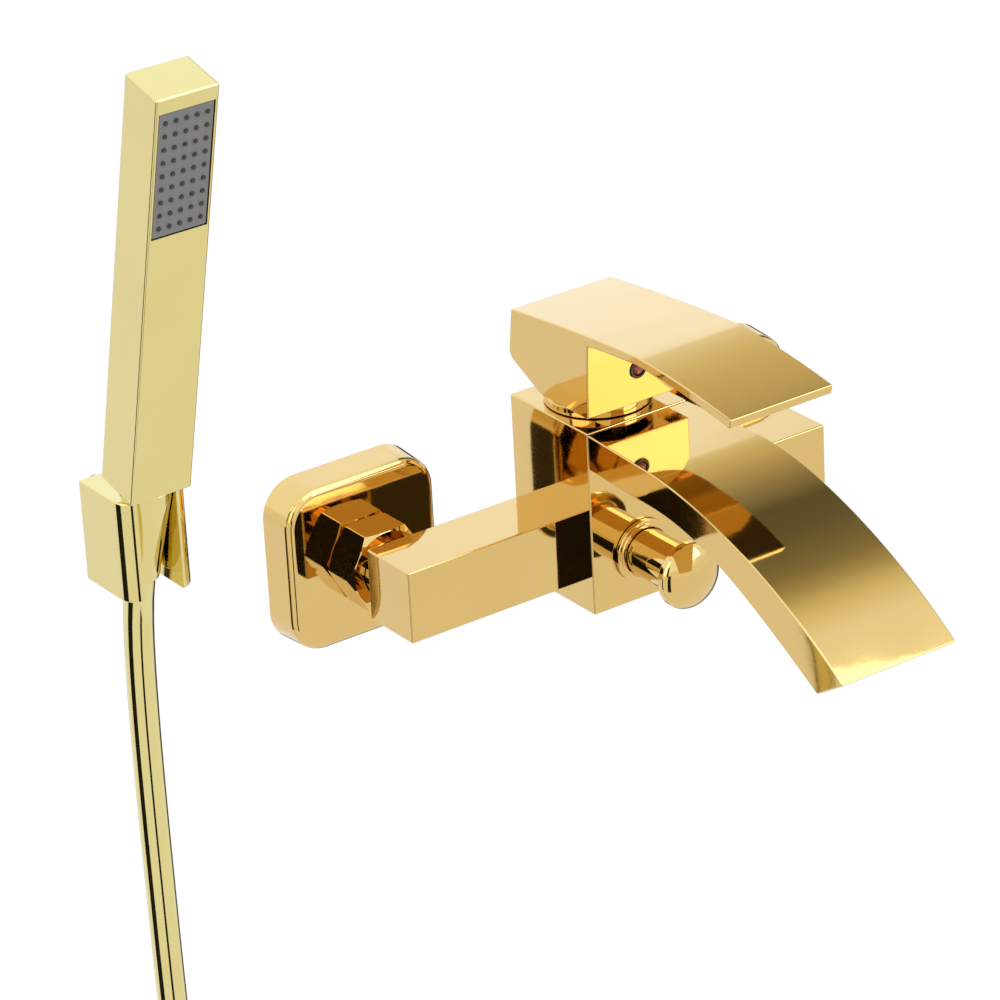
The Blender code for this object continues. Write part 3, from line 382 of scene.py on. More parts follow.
# lathe-cut, not plated
turnedBrass = grained("turnedBrass", "CDAA62", "B08D48", 0.4, 1.0, (0.22, 0.38), 0.02)
# drawn and pickled
stainless = grained("stainlessSteel", "C4C4C2", "A2A2A0", 0.3, 1.0, (0.2, 0.34), 0.01)
# moulded, waxy white
acetal = grained("whiteAcetal", "E9E8E3", "DAD9D2", 1.5, 0.0, (0.38, 0.5), 0.02)
# lapped ceramic, dense and pale
alumina = grained("lappedAlumina", "EFEDE4", "E2DFD3", 0.2, 0.0, (0.14, 0.22), 0.002)
# moulded, dull black
nitrile = grained("nitrileRubber", "1C1C1C", "101010", 0.5, 0.0, (0.5, 0.65), 0.02)
# pressed, dry red-brown
fibre = grained("vulcanisedFibre", "7C3E2C", "5E2B1E", 0.6, 0.0, (0.7, 0.85), 0.05)
# fine moulded satin
sprayAbs = grained("greyAbsPlate", "7E7D7C", "6F6E6D", 0.35, 0.0, (0.34, 0.46), 0.015)
# soft nozzle rubber
silicone = grained("darkSilicone", "3A3937", "2B2A29", 0.4, 0.0, (0.4, 0.55), 0.01)
# glossy moulding
blackAbs = grained("blackAbs", "1E1A14", "120F0B", 0.6, 0.0, (0.2, 0.32), 0.01, 0.4)
# baked drop, wet-looking
redEnamel = grained("redEnamel", "B01414", "8E0D0D", 1.2, 0.0, (0.1, 0.18), 0.01, 1.0)
print("materials made")


# hose: hangs from the cone nut, then lies wound with its end nut inside the coil
hoseRoute = [
    (-162.0, -15.35, 21.7),
    (-162.0, -12.7, 10.4),
    (-162.2, -11.2, -6.0),
    (-162.6, -11.0, -30.0),
    (-163.2, -12.0, -60.0),
    (-163.8, -13.6, -92.0),
    (-164.4, -15.4, -122.0),
    (-164.8, -17.0, -146.0),
    (-165.0, -17.8, -172.0),
    (-165.0, -18.0, -202.0),
    (-165.0, -18.0, -232.0),
]
hoseShape = {
    "diameter": 10.0,
    "length": 1500.0,
    "points": 30,
    "coilRadius": 60.0,
    "nutRadius": 39.0,  # from the coil's middle down to the end nut's axis
    "turnPoints": 36,
    "wound": 990,  # degrees, before the last half turn
    "slack": 0.5,  # between the hanging end and the outer turn
    "gap": 0.3,
}


def smoothRoute(points, count):
    # evenly spaced points on a Catmull-Rom curve
    route = [Vector(point) for point in points]
    ends = [route[0] * 2 - route[1]] + route + [route[-1] * 2 - route[-2]]
    fine = []
    for a, b, c, d in zip(ends, ends[1:], ends[2:], ends[3:]):
        for step in range(12):
            t = step / 12
            fine.append(0.5 * (
                2 * b + (c - a) * t + (2 * a - 5 * b + 4 * c - d) * t ** 2
                + (3 * b - a - 3 * c + d) * t ** 3
            ))
    fine.append(route[-1])
    reached = [0.0]
    for a, b in zip(fine, fine[1:]):
        reached.append(reached[-1] + (b - a).length)
    made = []
    for i in range(count):
        target = reached[-1] * i / (count - 1)
        j = next(k for k in range(1, len(fine)) if reached[k] >= target - 1e-9)
        share = (target - reached[j - 1]) / (reached[j] - reached[j - 1])
        made.append(fine[j - 1].lerp(fine[j], share))
    return made


def turnPlace(turned, shape):
    # how far out from the coil's mean radius, and how far towards the wall, a turn lies:
    # it moves from the outer rear place to the outer front, the inner front and the inner rear
    half = shape["diameter"] / 2
    # degrees wound, out, towards the wall
    places = [
        (0, half, half), (290, half, half), (345, half, -half), (590, half, -half),
        (650, -half, -half), (820, -half, -half), (920, -half, half), (999, -half, half),
    ]
    for (start, out0, back0), (end, out1, back1) in zip(places, places[1:]):
        if turned <= end:
            share = ease(max(0.0, (turned - start) / (end - start)))
            return out0 + (out1 - out0) * share, back0 + (back1 - back0) * share
    return -half, half


def hosePath(shape):
    half = shape["diameter"] / 2
    path = smoothRoute(hoseRoute, shape["points"])
    end = path[-1]
    radius = shape["coilRadius"]
    outer = radius + shape["diameter"] + shape["slack"]
    drop = math.sqrt(outer ** 2 - radius ** 2) + shape["gap"]
    middle = end + Vector((-radius - half, -half, -drop))
    for i in range(1, 4):
        path.append(end + Vector((0, 0, -drop * i / 3)))
    step = 360 / shape["turnPoints"]
    turned = step
    while turned <= shape["wound"]:
        out, back = turnPlace(turned, shape)
        a = math.radians(turned)
        reach = radius + out
        path.append(middle + Vector((reach * math.cos(a), back, -reach * math.sin(a))))
        turned += step
    # last half turn: off the top of the coil, down into the nut at the bottom
    top = radius - half
    bend = (top + shape["nutRadius"]) / 2
    steps = shape["turnPoints"] // 2
    for i in range(1, steps + 1):
        a = math.pi * i / steps
        share = ease(i / steps)
        path.append(middle + Vector((
            bend * math.sin(a), half * (1 - share), top - bend + bend * math.cos(a),
        )))
    return path


def addHose(shape):
    path = hosePath(shape)
    run = sum((b - a).length for a, b in zip(path, path[1:]))
    print("hose measures", round(run, 1), "mm")
    line = bpy.data.curves.new("showerHose", "CURVE")
    line.dimensions = "3D"
    line.bevel_depth = shape["diameter"] / 2 * mm
    line.bevel_resolution = 8
    line.use_fill_caps = True
    spline = line.splines.new("POLY")
    spline.points.add(len(path) - 1)
    for point, place in zip(spline.points, path):
        point.co = (*(place * mm), 1.0)
    spline.use_smooth = True
    line.materials.append(hoseGold)
    hose = bpy.data.objects.new("showerHose", line)
    bpy.context.scene.collection.objects.link(hose)
    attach(hose, "hand_shower")
    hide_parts("shower_hose", "hose_coil")
    return hose


hose = addHose(hoseShape)
print("hose made")


# body: a square bar through a taller block
bodyShape = {
    "barEnd": 86.5,
    "barBack": 33.0,
    "barFront": 57.0,
    "barHalfHeight": 12.75,
    "blockHalf": 20.5,
    "blockBack": 24.7,
    "blockFront": 67.5,
    "blockTop": 45.9,
    "blockLow": -20.3,
    "edge": 0.55,
    "nutBore": 16.2,
    "cartridgeBore": 14.3,
    "cartridgeFloor": 13.0,
    "seatRadius": 10.9,
    "chamberRadius": 6.8,
    "riser": 2.2,
    "waterway": 5.0,
    "spigot": [(6.2, 23.0), (11.6, 23.0), (11.6, 24.7), (9.6, 24.7), (9.6, 36.0), (6.2, 36.0)],
    "spigotBore": 5.9,
    "outletY": -38.0,
    "outletBore": 10.2,
}


def addBody(shape):
    body = addBox(
        "mixerBody",
        (-shape["barEnd"], -shape["barFront"], -shape["barHalfHeight"]),
        (shape["barEnd"], -shape["barBack"], shape["barHalfHeight"]),
    )
    roundEdges(body, shape["edge"])
    block = addBox(
        "mixerBlock",
        (-shape["blockHalf"], -shape["blockFront"], shape["blockLow"]),
        (shape["blockHalf"], -shape["blockBack"], shape["blockTop"]),
    )
    roundEdges(block, shape["edge"])
    combine(body, block, "UNION")
    for x in (-inletX, inletX):
        combine(body, spinProfile("spigot", shape["spigot"], (x, 0, 0), "out", 64), "UNION")
    cartridge = (0, cartridgeY, 0)
    outlet = (0, shape["outletY"], 0)
    diverter = (0, 0, diverterZ)
    # radius, start, end, middle, way
    bores = [
        (shape["cartridgeBore"], shape["cartridgeFloor"], 39.0, cartridge, "up"),
        (shape["nutBore"], 37.9, 50.0, cartridge, "up"),
        (shape["seatRadius"], 60.0, 70.0, diverter, "out"),
        (shape["chamberRadius"], 36.0, 61.0, diverter, "out"),
        (shape["outletBore"], -25.0, -14.3, outlet, "up"),
        (4.0, -16.0, diverterZ, outlet, "up"),
        (shape["riser"], diverterZ, 14.0, (0, cartridgeY - 7.0, 0), "up"),
    ]
    # hot and cold: in through the spigot, along the bar, up into the cartridge
    for sign, way in ((-1, "left"), (1, "right")):
        bores += [
            (shape["spigotBore"], 31.0, 48.7, (sign * inletX, 0, 0), "out"),
            (shape["riser"], -1.0, 14.0, (sign * 10.5, cartridgeY, 0), "up"),
            (shape["waterway"], 8.5, inletX, (0, -45, 0), way),
        ]
    for radius, start, end, place, way in bores:
        profile = [(0, start), (radius, start), (radius, end), (0, end)]
        combine(body, spinProfile("bore", profile, place, way, 64), "DIFFERENCE")
    # up to the spout inside the front wall, out through its mouth
    ways = [
        ((-9.6, -66.2, 9.2), (9.6, -63.4, 41.2)),
        ((-4.5, -65.9, 9.4), (4.5, -56.5, 11.7)),
        ((-4.0, -59.5, diverterZ), (4.0, -57.0, 11.2)),
        ((-10.0, -68.5, 34.2), (10.0, -65.2, 41.6)),
    ]
    for low, high in ways:
        combine(body, addBox("way", low, high), "DIFFERENCE")
    smoothShade(body)
    deliver(body, "mixer", gold, "mixer_body")


addBody(bodyShape)


# spout: a broad ribbon that curves down, hollow, with its mouth underneath at the tip
spoutShape = {
    "rootY": -67.8,
    "top": 45.6,
    "rootHeight": 12.6,
    "rootHalf": 20.5,
    "tipHalf": 23.0,
    "flareLength": 67.5,
    "steps": 44,
    "edge": 0.5,
    "tongueLow": (-9.7, -71.5, 34.5),
    "tongueHigh": (9.7, -66.5, 41.3),
    "ductStart": -64.0,
    # sides as shares of the ribbon's height, and half width: in the tongue, then widened
    "ductTop": (0.46, 0.3),
    "ductFloor": (0.78, 0.72),
    "ductHalf": (8.3, 20.5),
    "ductWidens": 0.6,  # share of its length
    "upper": [(-103.0, -0.3), (-128.0, -1.1), (-168.0, -13.6), (-201.0, -38.6)],
    "lower": [(-101.0, 0.2), (-128.0, 0.5), (-150.0, -10.5), (-188.0, -34.0)],
}


def spoutSections(shape):
    low = shape["top"] - shape["rootHeight"]
    upper = bezier([(y, shape["top"] + z) for y, z in shape["upper"]], shape["steps"])
    lower = bezier([(y, low + z) for y, z in shape["lower"]], shape["steps"])
    first = [((shape["rootY"], shape["top"]), (shape["rootY"], low))]
    halfway = (shape["rootY"] + upper[0][0]) / 2
    first.append(((halfway, shape["top"] - 0.05), (halfway, low + 0.03)))
    return first + list(zip(upper, lower))


def addRibbon(name, sections, halves):
    # a quad at the first section, extruded to each of the next ones
    def corners(section, half):
        (topY, topZ), (lowY, lowZ) = section
        return [(-half, topY, topZ), (half, topY, topZ), (half, lowY, lowZ), (-half, lowY, lowZ)]

    piece = addOutline(name, corners(sections[0], halves[0]), "NGON")
    bpy.ops.object.mode_set(mode="EDIT")
    bpy.ops.mesh.select_all(action="SELECT")
    for section, half in zip(sections[1:], halves[1:]):
        bpy.ops.mesh.extrude_region_move(TRANSFORM_OT_translate={"value": (0, 0, 0)})
        mesh = bmesh.from_edit_mesh(piece.data)
        moved = [corner for corner in mesh.verts if corner.select]
        places = corners(section, half)
        middle = sum(corner.co.z for corner in moved) / 4
        for corner in moved:
            upper = corner.co.z > middle
            right = corner.co.x > 0
            corner.co = Vector(places[(1 if right else 0) if upper else (2 if right else 3)]) * mm
        bmesh.update_edit_mesh(piece.data)
    tidyNormals()
    bpy.ops.object.mode_set(mode="OBJECT")
    return piece


def addDuct(shape, sections):
    # starts in the tongue and ends half a step past the tip
    (_, top), (_, low) = sections[0]
    sections = [((shape["ductStart"], top), (shape["ductStart"], low))] + sections
    duct = []
    halves = []
    for i, (top, low) in enumerate(sections):
        share = min(1.0, i / (shape["ductWidens"] * len(sections)))
        a = Vector(top)
        b = Vector(low)
        duct.append([a.lerp(b, between(shape[side], share)) for side in ("ductTop", "ductFloor")])
        halves.append(between(shape["ductHalf"], share))
    duct.append([end * 1.5 - before * 0.5 for end, before in zip(duct[-1], duct[-2])])
    return addRibbon("duct", duct, halves + [halves[-1]])


def addSpout(shape):
    sections = spoutSections(shape)
    halves = []
    for (y, _), _ in sections:
        share = min(1.0, max(0.0, (shape["rootY"] - y) / shape["flareLength"]))
        flare = share * (2 - share)
        halves.append(shape["rootHalf"] + (shape["tipHalf"] - shape["rootHalf"]) * flare)
    spout = addRibbon("waterfallSpout", sections, halves)
    roundEdges(spout, shape["edge"])
    combine(spout, addBox("tongue", shape["tongueLow"], shape["tongueHigh"]), "UNION")
    combine(spout, addDuct(shape, sections), "DIFFERENCE")
    smoothShade(spout, 30)
    deliver(spout, "mixer", gold, "waterfall_spout")


addSpout(spoutShape)
print("body and spout made")


# lever: a flat plate that dips at both ends, on a square boss
leverShape = {
    "half": 20.5,
    "blockTop": bodyShape["blockTop"],
    "floor": 51.4,
    "plate": 3.0,
    "edge": 0.45,
    "indexZ": 63.7,
    "indexBore": 3.5,
    "screwBore": 2.3,
    "stemHalf": (2.7, 3.8),
    "stemDepth": 15.0,
}


def leverOutline(shape):
    top = shape["blockTop"]
    floor = shape["floor"]
    plate = shape["plate"]
    back = bezier([(-27.6, top + 31.6), (-62.0, top + 35.6), (-97.0, top + 37.1)], 20)
    front = bezier([(-97.0, top + 37.1), (-118.0, top + 36.4), (-145.0, top + 31.5)], 20)
    under = bezier(
        [(-144.4, top + 31.3 - plate), (-117.0, top + 36.5 - plate), (-96.0, top + 37.1 - plate)],
        20,
    )
    root = bezier(
        [(-96.0, top + 37.1 - plate), (-83.0, top + 36.4 - plate), (-69.9, top + 35.0 - plate)],
        10,
    )
    boss = [(-68.4, floor), (-43.4, floor), (-42.0, floor + 0.4)]
    heel = bezier([(-28.0, floor + 7.5), (-25.4, floor + 8.8), (-25.5, floor + 11.5)], 10)
    return back + front[1:] + under + root[1:] + boss + heel


def addLever(shape):
    half = shape["half"]
    outline = [(-half, y, z) for y, z in leverOutline(shape)]
    lever = extrudeOutline("handleLever", outline, (2 * half, 0, 0))
    roundEdges(lever, shape["edge"], 4, 30)
    halfX, halfY = shape["stemHalf"]
    socket = addBox(
        "socket",
        (-halfX, cartridgeY - halfY, shape["floor"] - 2),
        (halfX, cartridgeY + halfY, shape["floor"] + shape["stemDepth"]),
    )
    combine(lever, socket, "DIFFERENCE")
    for radius, start in ((shape["indexBore"], 66.4), (shape["screwBore"], -cartridgeY)):
        bore = [(0, start), (radius, start), (radius, 72), (0, 72)]
        combine(lever, spinProfile("bore", bore, (0, 0, shape["indexZ"]), "out", 48), "DIFFERENCE")
    smoothShade(lever, 28)
    deliver(lever, "lever", gold, "handle_lever")
    plug = roundCorners([
        (0.0, 63.9), (2.0, 63.9), (2.0, 66.7), (3.2, 66.7), (3.2, 69.7, 0.25), (2.3, 69.7, 0.15),
        (2.3, 68.3), (0.0, 68.3),
    ])
    plug = spinProfile("indexPlug", plug, (0, 0, shape["indexZ"]), "out", 64)
    smoothShade(plug)
    deliver(plug, "lever", blackAbs, "index_plug")
    dot = [
        (0.0, 68.6), (2.0, 68.6), (2.0, 69.4), (1.6, 69.7), (1.0, 69.9), (0.5, 69.97), (0.0, 70.0),
    ]
    dot = spinProfile("indexDot", dot, (0, 0, shape["indexZ"]), "out", 48)
    smoothShade(dot, 60)
    deliver(dot, "lever", redEnamel, "index_dot")


addLever(leverShape)


# cap under the lever, the diverter's bonnet and knob, and the spring behind them
capShape = {"radius": 18.2, "bore": 8.8, "low": 46.2, "height": 3.3, "edge": 0.8}
diverterShape = {
    "face": 67.8,
    "neck": 8.4,
    "knob": 11.7,
    "neckBack": 63.3,
    "neckLength": 27.6,
    "flange": 11.2,
    "seat": 10.6,
    "seatBack": 60.3,
    "floor": 63.0,
    "stemBore": 2.2,
    "stemEnd": 83.2,
}
springShape = {
    "radius": 4.2,
    "wire": 0.45,
    "turns": 4,
    "turnSteps": 40,
    "back": 49.7,
    "front": 60.0,
    "travel": 6.0,
}


def addCap(shape):
    top = shape["low"] + shape["height"]
    profile = roundCorners([
        (shape["bore"], shape["low"]), (shape["radius"], shape["low"], 0.3),
        (shape["radius"], top, shape["edge"]), (shape["bore"], top, 0.4),
    ], 6)
    cap = spinProfile("cartridgeCap", profile, (0, cartridgeY, 0), "up", 144)
    smoothShade(cap)
    deliver(cap, "mixer", gold, "cartridge_cap")


def addDiverter(shape):
    middle = (0, 0, diverterZ)
    face = shape["face"]
    neck = shape["neck"]
    seat = shape["seat"]
    profile = roundCorners([
        (neck + 0.3, face + 2.2, 0.2), (seat - 0.6, face + 2.2, 0.3), (seat - 0.6, face + 1.6, 0.1),
        (shape["flange"], face + 1.6, 0.4), (shape["flange"], face), (seat, face),
        (seat, shape["seatBack"]), (shape["stemBore"], shape["seatBack"]),
        (shape["stemBore"], shape["floor"]), (neck + 0.3, shape["floor"]),
    ], 4)
    bonnet = spinProfile("diverterBonnet", profile, middle, "out", 128)
    smoothShade(bonnet)
    deliver(bonnet, "mixer", gold, "diverter_bonnet")
    flange = shape["neckBack"] + shape["neckLength"]
    knob = shape["knob"]
    dome = bezier([
        (knob, flange + 2.6), (knob - 0.4, flange + 4.6), (6.0, flange + 7.6), (0.0, flange + 7.9),
    ], 26)
    profile = [
        (0.0, shape["stemEnd"]), (shape["stemBore"], shape["stemEnd"]),
        (shape["stemBore"], shape["neckBack"]), (neck, shape["neckBack"]),
    ]
    profile += roundCorners([
        (neck, shape["neckBack"] + 1), (neck, flange, 0.9),
        (knob, flange, 0.7), (knob, flange + 2.0),
    ], 6)[1:]
    handle = spinProfile("diverterKnob", profile + dome, middle, "out", 128)
    smoothShade(handle, 40)
    deliver(handle, "diverter", gold, "diverter_knob")


def addSpring(shape):
    wire = shape["wire"]
    length = shape["front"] - shape["back"]
    start = shape["back"] + wire
    ring = []
    for i in range(12):
        a = 2 * math.pi * i / 12
        ring.append((shape["radius"] + wire * math.cos(a), 0, start + wire * math.sin(a)))
    spring = addOutline("diverterSpring", ring, "NOTHING")
    useModifier(
        spring, "SCREW", iterations=shape["turns"], steps=shape["turnSteps"],
        render_steps=shape["turnSteps"], screw_offset=(length - 2 * wire) / shape["turns"] * mm,
    )
    bpy.ops.object.mode_set(mode="EDIT")
    bpy.ops.mesh.select_all(action="SELECT")
    bpy.ops.mesh.fill_holes(sides=0)
    tidyNormals()
    bpy.ops.object.mode_set(mode="OBJECT")
    spring.data.transform(Matrix.Translation((0, 0, diverterZ * mm)) @ turnTo["out"])
    smoothShade(spring)
    deliver(spring, "mixer", stainless, "diverter_spring")
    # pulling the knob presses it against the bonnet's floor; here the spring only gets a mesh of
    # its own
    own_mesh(spring)


addCap(capShape)
addDiverter(diverterShape)
addSpring(springShape)
print("lever, cap and diverter made")


# wall connections: unions with pipe thread, hexagonal nuts and hollow square covers
unionShape = {
    "tail": 10.3,
    "thread": 0.75,
    "pitch": 1.814,
    "body": 11.6,
    "bore": 6.2,
    "back": -14.0,
    "shoulder": -0.5,
    "front": 20.8,
}
nutShape = {
    "flats": 27.4,
    "back": 14.3,
    "front": 28.0,
    "bore": 9.9,
    "wideBore": 11.9,
    "lip": 3.0,
    "lead": 1.3,
}
coverShape = {
    "half": 30.0,
    "depth": 14.0,
    "taper": 0.7,
    "corner": 13.0,
    "edge": 2.6,
    "wall": 1.4,
    "hole": 11.9,
}
outletShape = {
    "bore": 5.5,
    "lip": 9.2,
    "tail": 9.9,
    "thread": 0.7,
    "pitch": 1.814,
    "low": -26.8,
    "threadLow": -26.4,
    "threadTop": -20.6,
    "top": -14.6,
}


def threadProfile(radius, depth, start, end, pitch):
    # ridges stand in for one start of a pipe thread
    points = []
    height = start
    while height + pitch < end:
        crest = [(radius, height + pitch * 0.42), (radius, height + pitch * 0.58)]
        points += [(radius - depth, height)] + crest
        height += pitch
    return points + [(radius - depth, height), (radius - depth, end)]


def addUnion(side, x, shape):
    back, shoulder, front = shape["back"], shape["shoulder"], shape["front"]
    profile = [(shape["bore"], back)]
    profile += threadProfile(shape["tail"], shape["thread"], back, shoulder, shape["pitch"])
    profile += [(shape["body"], shoulder), (shape["body"], front), (shape["bore"], front)]
    union = spinProfile(side + "Union", profile, (x, 0, 0), "out", 64)
    smoothShade(union)
    deliver(union, "mixer", turnedBrass, side + "_union")


def hexagon(flats):
    reach = flats / math.sqrt(3)
    angles = [i * math.pi / 3 for i in range(6)]
    return [(reach * math.cos(a), reach * math.sin(a)) for a in angles]


def addHexNut(name, flats, low, high, lead):
    # a hexagonal bar whose corners are turned off at both ends; it stands along Z
    corners = roundCorners([(a, b, 0.35) for a, b in hexagon(flats)], 3)
    nut = extrudeOutline(name, [(a, b, low) for a, b in corners], (0, 0, high - low))
    reach = flats / math.sqrt(3)
    turning = [
        (0, low - 0.01), (flats / 2 - 0.2, low - 0.01), (reach + 0.1, low + lead),
        (reach + 0.1, high - lead), (flats / 2 - 0.2, high + 0.01), (0, high + 0.01),
    ]
    combine(nut, spinProfile("turning", turning, steps=96), "INTERSECT")
    return nut


def addUnionNut(side, x, shape):
    back, front = shape["back"], shape["front"]
    nut = addHexNut(side + "UnionNut", shape["flats"], back, front, shape["lead"])
    floor = front - shape["lip"]
    wide = [(0, 10), (shape["wideBore"], 10), (shape["wideBore"], floor), (0, floor)]
    combine(nut, spinProfile("bore", wide, steps=64), "DIFFERENCE")
    narrow = [(0, 12), (shape["bore"], 12), (shape["bore"], 32), (0, 32)]
    combine(nut, spinProfile("bore", narrow, steps=64), "DIFFERENCE")
    nut.data.transform(Matrix.Translation((x * mm, 0, 0)) @ turnTo["out"])
    smoothShade(nut, 25)
    deliver(nut, "mixer", gold, side + "_union_nut")


def roundedSquare(half, corner, steps=12):
    points = []
    for quarter, (sx, sy) in enumerate(((1, 1), (-1, 1), (-1, -1), (1, -1))):
        for step in range(steps + 1):
            a = (quarter + step / steps) * math.pi / 2
            arc = Vector((math.cos(a), math.sin(a))) * corner
            points.append(Vector((sx, sy)) * (half - corner) + arc)
    return points


def addCover(side, x, shape):
    points = [(x + a, 0, b) for a, b in roundedSquare(shape["half"], shape["corner"])]
    cover = addOutline(side + "CoverPlate", points, "NGON")
    bpy.ops.object.mode_set(mode="EDIT")
    bpy.ops.mesh.select_all(action="SELECT")
    front = -shape["depth"] * mm
    bpy.ops.mesh.extrude_region_move(TRANSFORM_OT_translate={"value": (0, front, 0)})
    shrink = 1 - shape["taper"] / shape["half"]
    bpy.ops.transform.resize(value=(shrink, 1, shrink), center_override=(x * mm, front, 0))
    bpy.ops.mesh.bevel(offset=shape["edge"] * mm, segments=7, affect="EDGES")
    tidyNormals()
    # open towards the wall
    mesh = bmesh.from_edit_mesh(cover.data)
    for face in mesh.faces:
        face.select = face.normal.y > 0.9
    bmesh.update_edit_mesh(cover.data)
    bpy.ops.mesh.delete(type="FACE")
    bpy.ops.object.mode_set(mode="OBJECT")
    useModifier(cover, "SOLIDIFY", thickness=shape["wall"] * mm, offset=-1.0)
    hole = [(0, 5), (shape["hole"], 5), (shape["hole"], 20), (0, 20)]
    combine(cover, spinProfile("hole", hole, (x, 0, 0), "out", 96), "DIFFERENCE")
    smoothShade(cover, 30)
    deliver(cover, "mixer", gold, side + "_cover_plate")


for side, x in (("left", -inletX), ("right", inletX)):
    addUnion(side, x, unionShape)
    addUnionNut(side, x, nutShape)
    addCover(side, x, coverShape)


def addOutlet(shape, y):
    tail, top = shape["tail"], shape["top"]
    profile = [(shape["bore"], shape["low"]), (shape["lip"], shape["low"])]
    profile += threadProfile(
        tail, shape["thread"], shape["threadLow"], shape["threadTop"], shape["pitch"]
    )
    profile += [(tail, shape["threadTop"] + 0.4), (tail, top), (shape["bore"], top)]
    outlet = spinProfile("showerOutlet", profile, (0, y, 0), "up", 96)
    smoothShade(outlet)
    deliver(outlet, "mixer", gold, "shower_outlet")


addOutlet(outletShape, bodyShape["outletY"])
print("wall connections made")


# hand shower: a square stick that leans out of its bracket
showerFoot = Matrix.Translation(Vector((bracketX, -24.4, 58.0)) * mm)
showerFrame = showerFoot @ Matrix.Rotation(math.radians(14), 4, "X")
showerShape = {
    "halfX": 11.25,
    "halfY": 9.0,
    "length": 151.5,
    "edge": 0.8,
    "plateHalf": 9.8,
    "plateLow": 101.3,
    "plateTop": 145.9,
    "plateDepth": 1.4,
    "plateGap": 0.3,
    "recess": 4.4,
    "channel": 5.5,
    "channelTop": 90.0,
    "columns": 5,
    "rows": 9,
    "stepX": 3.75,
    "stepZ": 4.75,
}


def addCasing(shape):
    halfX, halfY, gap = shape["halfX"], shape["halfY"], shape["plateGap"]
    casing = addBox("showerCasing", (-halfX, -halfY, 0), (halfX, halfY, shape["length"]))
    roundEdges(casing, shape["edge"], 5)
    half = shape["plateHalf"] + gap
    recess = addBox(
        "recess",
        (-half, -halfY - 1, shape["plateLow"] - gap),
        (half, -halfY + shape["recess"], shape["plateTop"] + gap),
    )
    combine(casing, recess, "DIFFERENCE")
    radius, top = shape["channel"], shape["channelTop"]
    channel = [(0, -1), (radius, -1), (radius, top), (0, top)]
    combine(casing, spinProfile("channel", channel, steps=48), "DIFFERENCE")
    casing.data.transform(showerFrame)
    smoothShade(casing)
    deliver(casing, "hand_shower", paleGold, "shower_casing")


def addSprayFace(shape):
    front = -shape["halfY"] + 0.2
    plate = addBox(
        "sprayPlate",
        (-shape["plateHalf"], front, shape["plateLow"]),
        (shape["plateHalf"], front + shape["plateDepth"], shape["plateTop"]),
    )
    roundEdges(plate, 0.3, 3)
    nozzle = spinProfile(
        "nozzles",
        [(0.32, -0.9), (0.78, -0.9), (0.78, 0.15), (0.62, 0.42), (0.45, 0.5), (0.32, 0.42)],
        (0, 0, 0), "out", 16,
    )
    smoothShade(nozzle, 50)
    centre = (shape["plateLow"] + shape["plateTop"]) / 2
    copies = []
    for column in range(shape["columns"]):
        for row in range(shape["rows"]):
            x = (column - (shape["columns"] - 1) / 2) * shape["stepX"]
            z = centre + (row - (shape["rows"] - 1) / 2) * shape["stepZ"]
            copy = nozzle.copy()
            copy.data = nozzle.data.copy()
            bpy.context.scene.collection.objects.link(copy)
            copy.data.transform(Matrix.Translation((x * mm, front * mm, z * mm)))
            copies.append(copy)
    bpy.data.objects.remove(nozzle)
    choose(copies[0])
    for copy in copies:
        copy.select_set(True)
    bpy.ops.object.join()
    nozzles = named("sprayNozzles")
    nozzles.data.transform(showerFrame)
    plate.data.transform(showerFrame)
    smoothShade(plate)
    deliver(plate, "hand_shower", sprayAbs, "spray_plate")
    deliver(nozzles, "hand_shower", silicone)


coneShape = {"top": 8.3, "end": 6.2, "collar": 5.0, "length": 37.0, "bore": 5.5, "hoseBore": 4.9}


def coneRadius(shape, z):
    share = (-z - shape["collar"]) / (shape["length"] - shape["collar"] - 1.0)
    return shape["top"] + (shape["end"] - shape["top"]) * share


def addConeNut(shape):
    top, end, bore = shape["top"], shape["end"], shape["bore"]
    low = -shape["length"]
    profile = roundCorners([
        (bore, -0.3), (top, -0.3, 0.5), (top, -shape["collar"], 0.5),
        (coneRadius(shape, -6.5), -6.5), (end, low + 0.8, 0.3), (end - 0.6, low, 0.3),
        (shape["hoseBore"], low), (shape["hoseBore"], -20), (bore, -20),
    ], 4)
    nut = spinProfile("hoseConeNut", profile, steps=96)
    nut.data.transform(showerFrame)
    smoothShade(nut, 30)
    deliver(nut, "hand_shower", paleGold, "hose_cone_nut")


bracketShape = {
    "half": 12.5,
    "depth": 30.0,
    "back": 3.0,
    "low": 20.0,
    "top": 55.0,
    "corner": 6.0,
    "slotHalf": 7.3,
    "edge": 0.5,
}


def addBracket(shape, cone):
    left, right = bracketX - shape["half"], bracketX + shape["half"]
    outline = roundCorners([
        (right, -shape["back"]), (left, -shape["back"]),
        (left, -shape["depth"], shape["corner"]), (right, -shape["depth"], shape["corner"]),
    ], 14)
    low = shape["low"]
    bracket = extrudeOutline(
        "wallBracket", [(a, b, low) for a, b in outline], (0, 0, shape["top"] - low)
    )
    roundEdges(bracket, shape["edge"])
    wide = cone["top"] + 0.3
    socket = spinProfile("socket", [
        (0, -50), (cone["end"] - 0.2, -50), (coneRadius(cone, -7.0) + 0.3, -7.0),
        (wide, -cone["collar"]), (wide, 12), (0, 12),
    ], steps=96)
    slot = addBox("slot", (-shape["slotHalf"], -40, -50), (shape["slotHalf"], 0, 15))
    for cutter in (socket, slot):
        cutter.data.transform(showerFrame)
        combine(bracket, cutter, "DIFFERENCE")
    smoothShade(bracket, 30)
    deliver(bracket, "mixer", paleGold, "wall_bracket")


addCasing(showerShape)
addSprayFace(showerShape)
addConeNut(coneShape)
addBracket(bracketShape, coneShape)


# the hose's far end: a hexagonal nut that rests on the tie, inside the coil
endNutShape = {"flats": 17.0, "lead": 0.9, "bore": 5.6, "floor": 4.0}


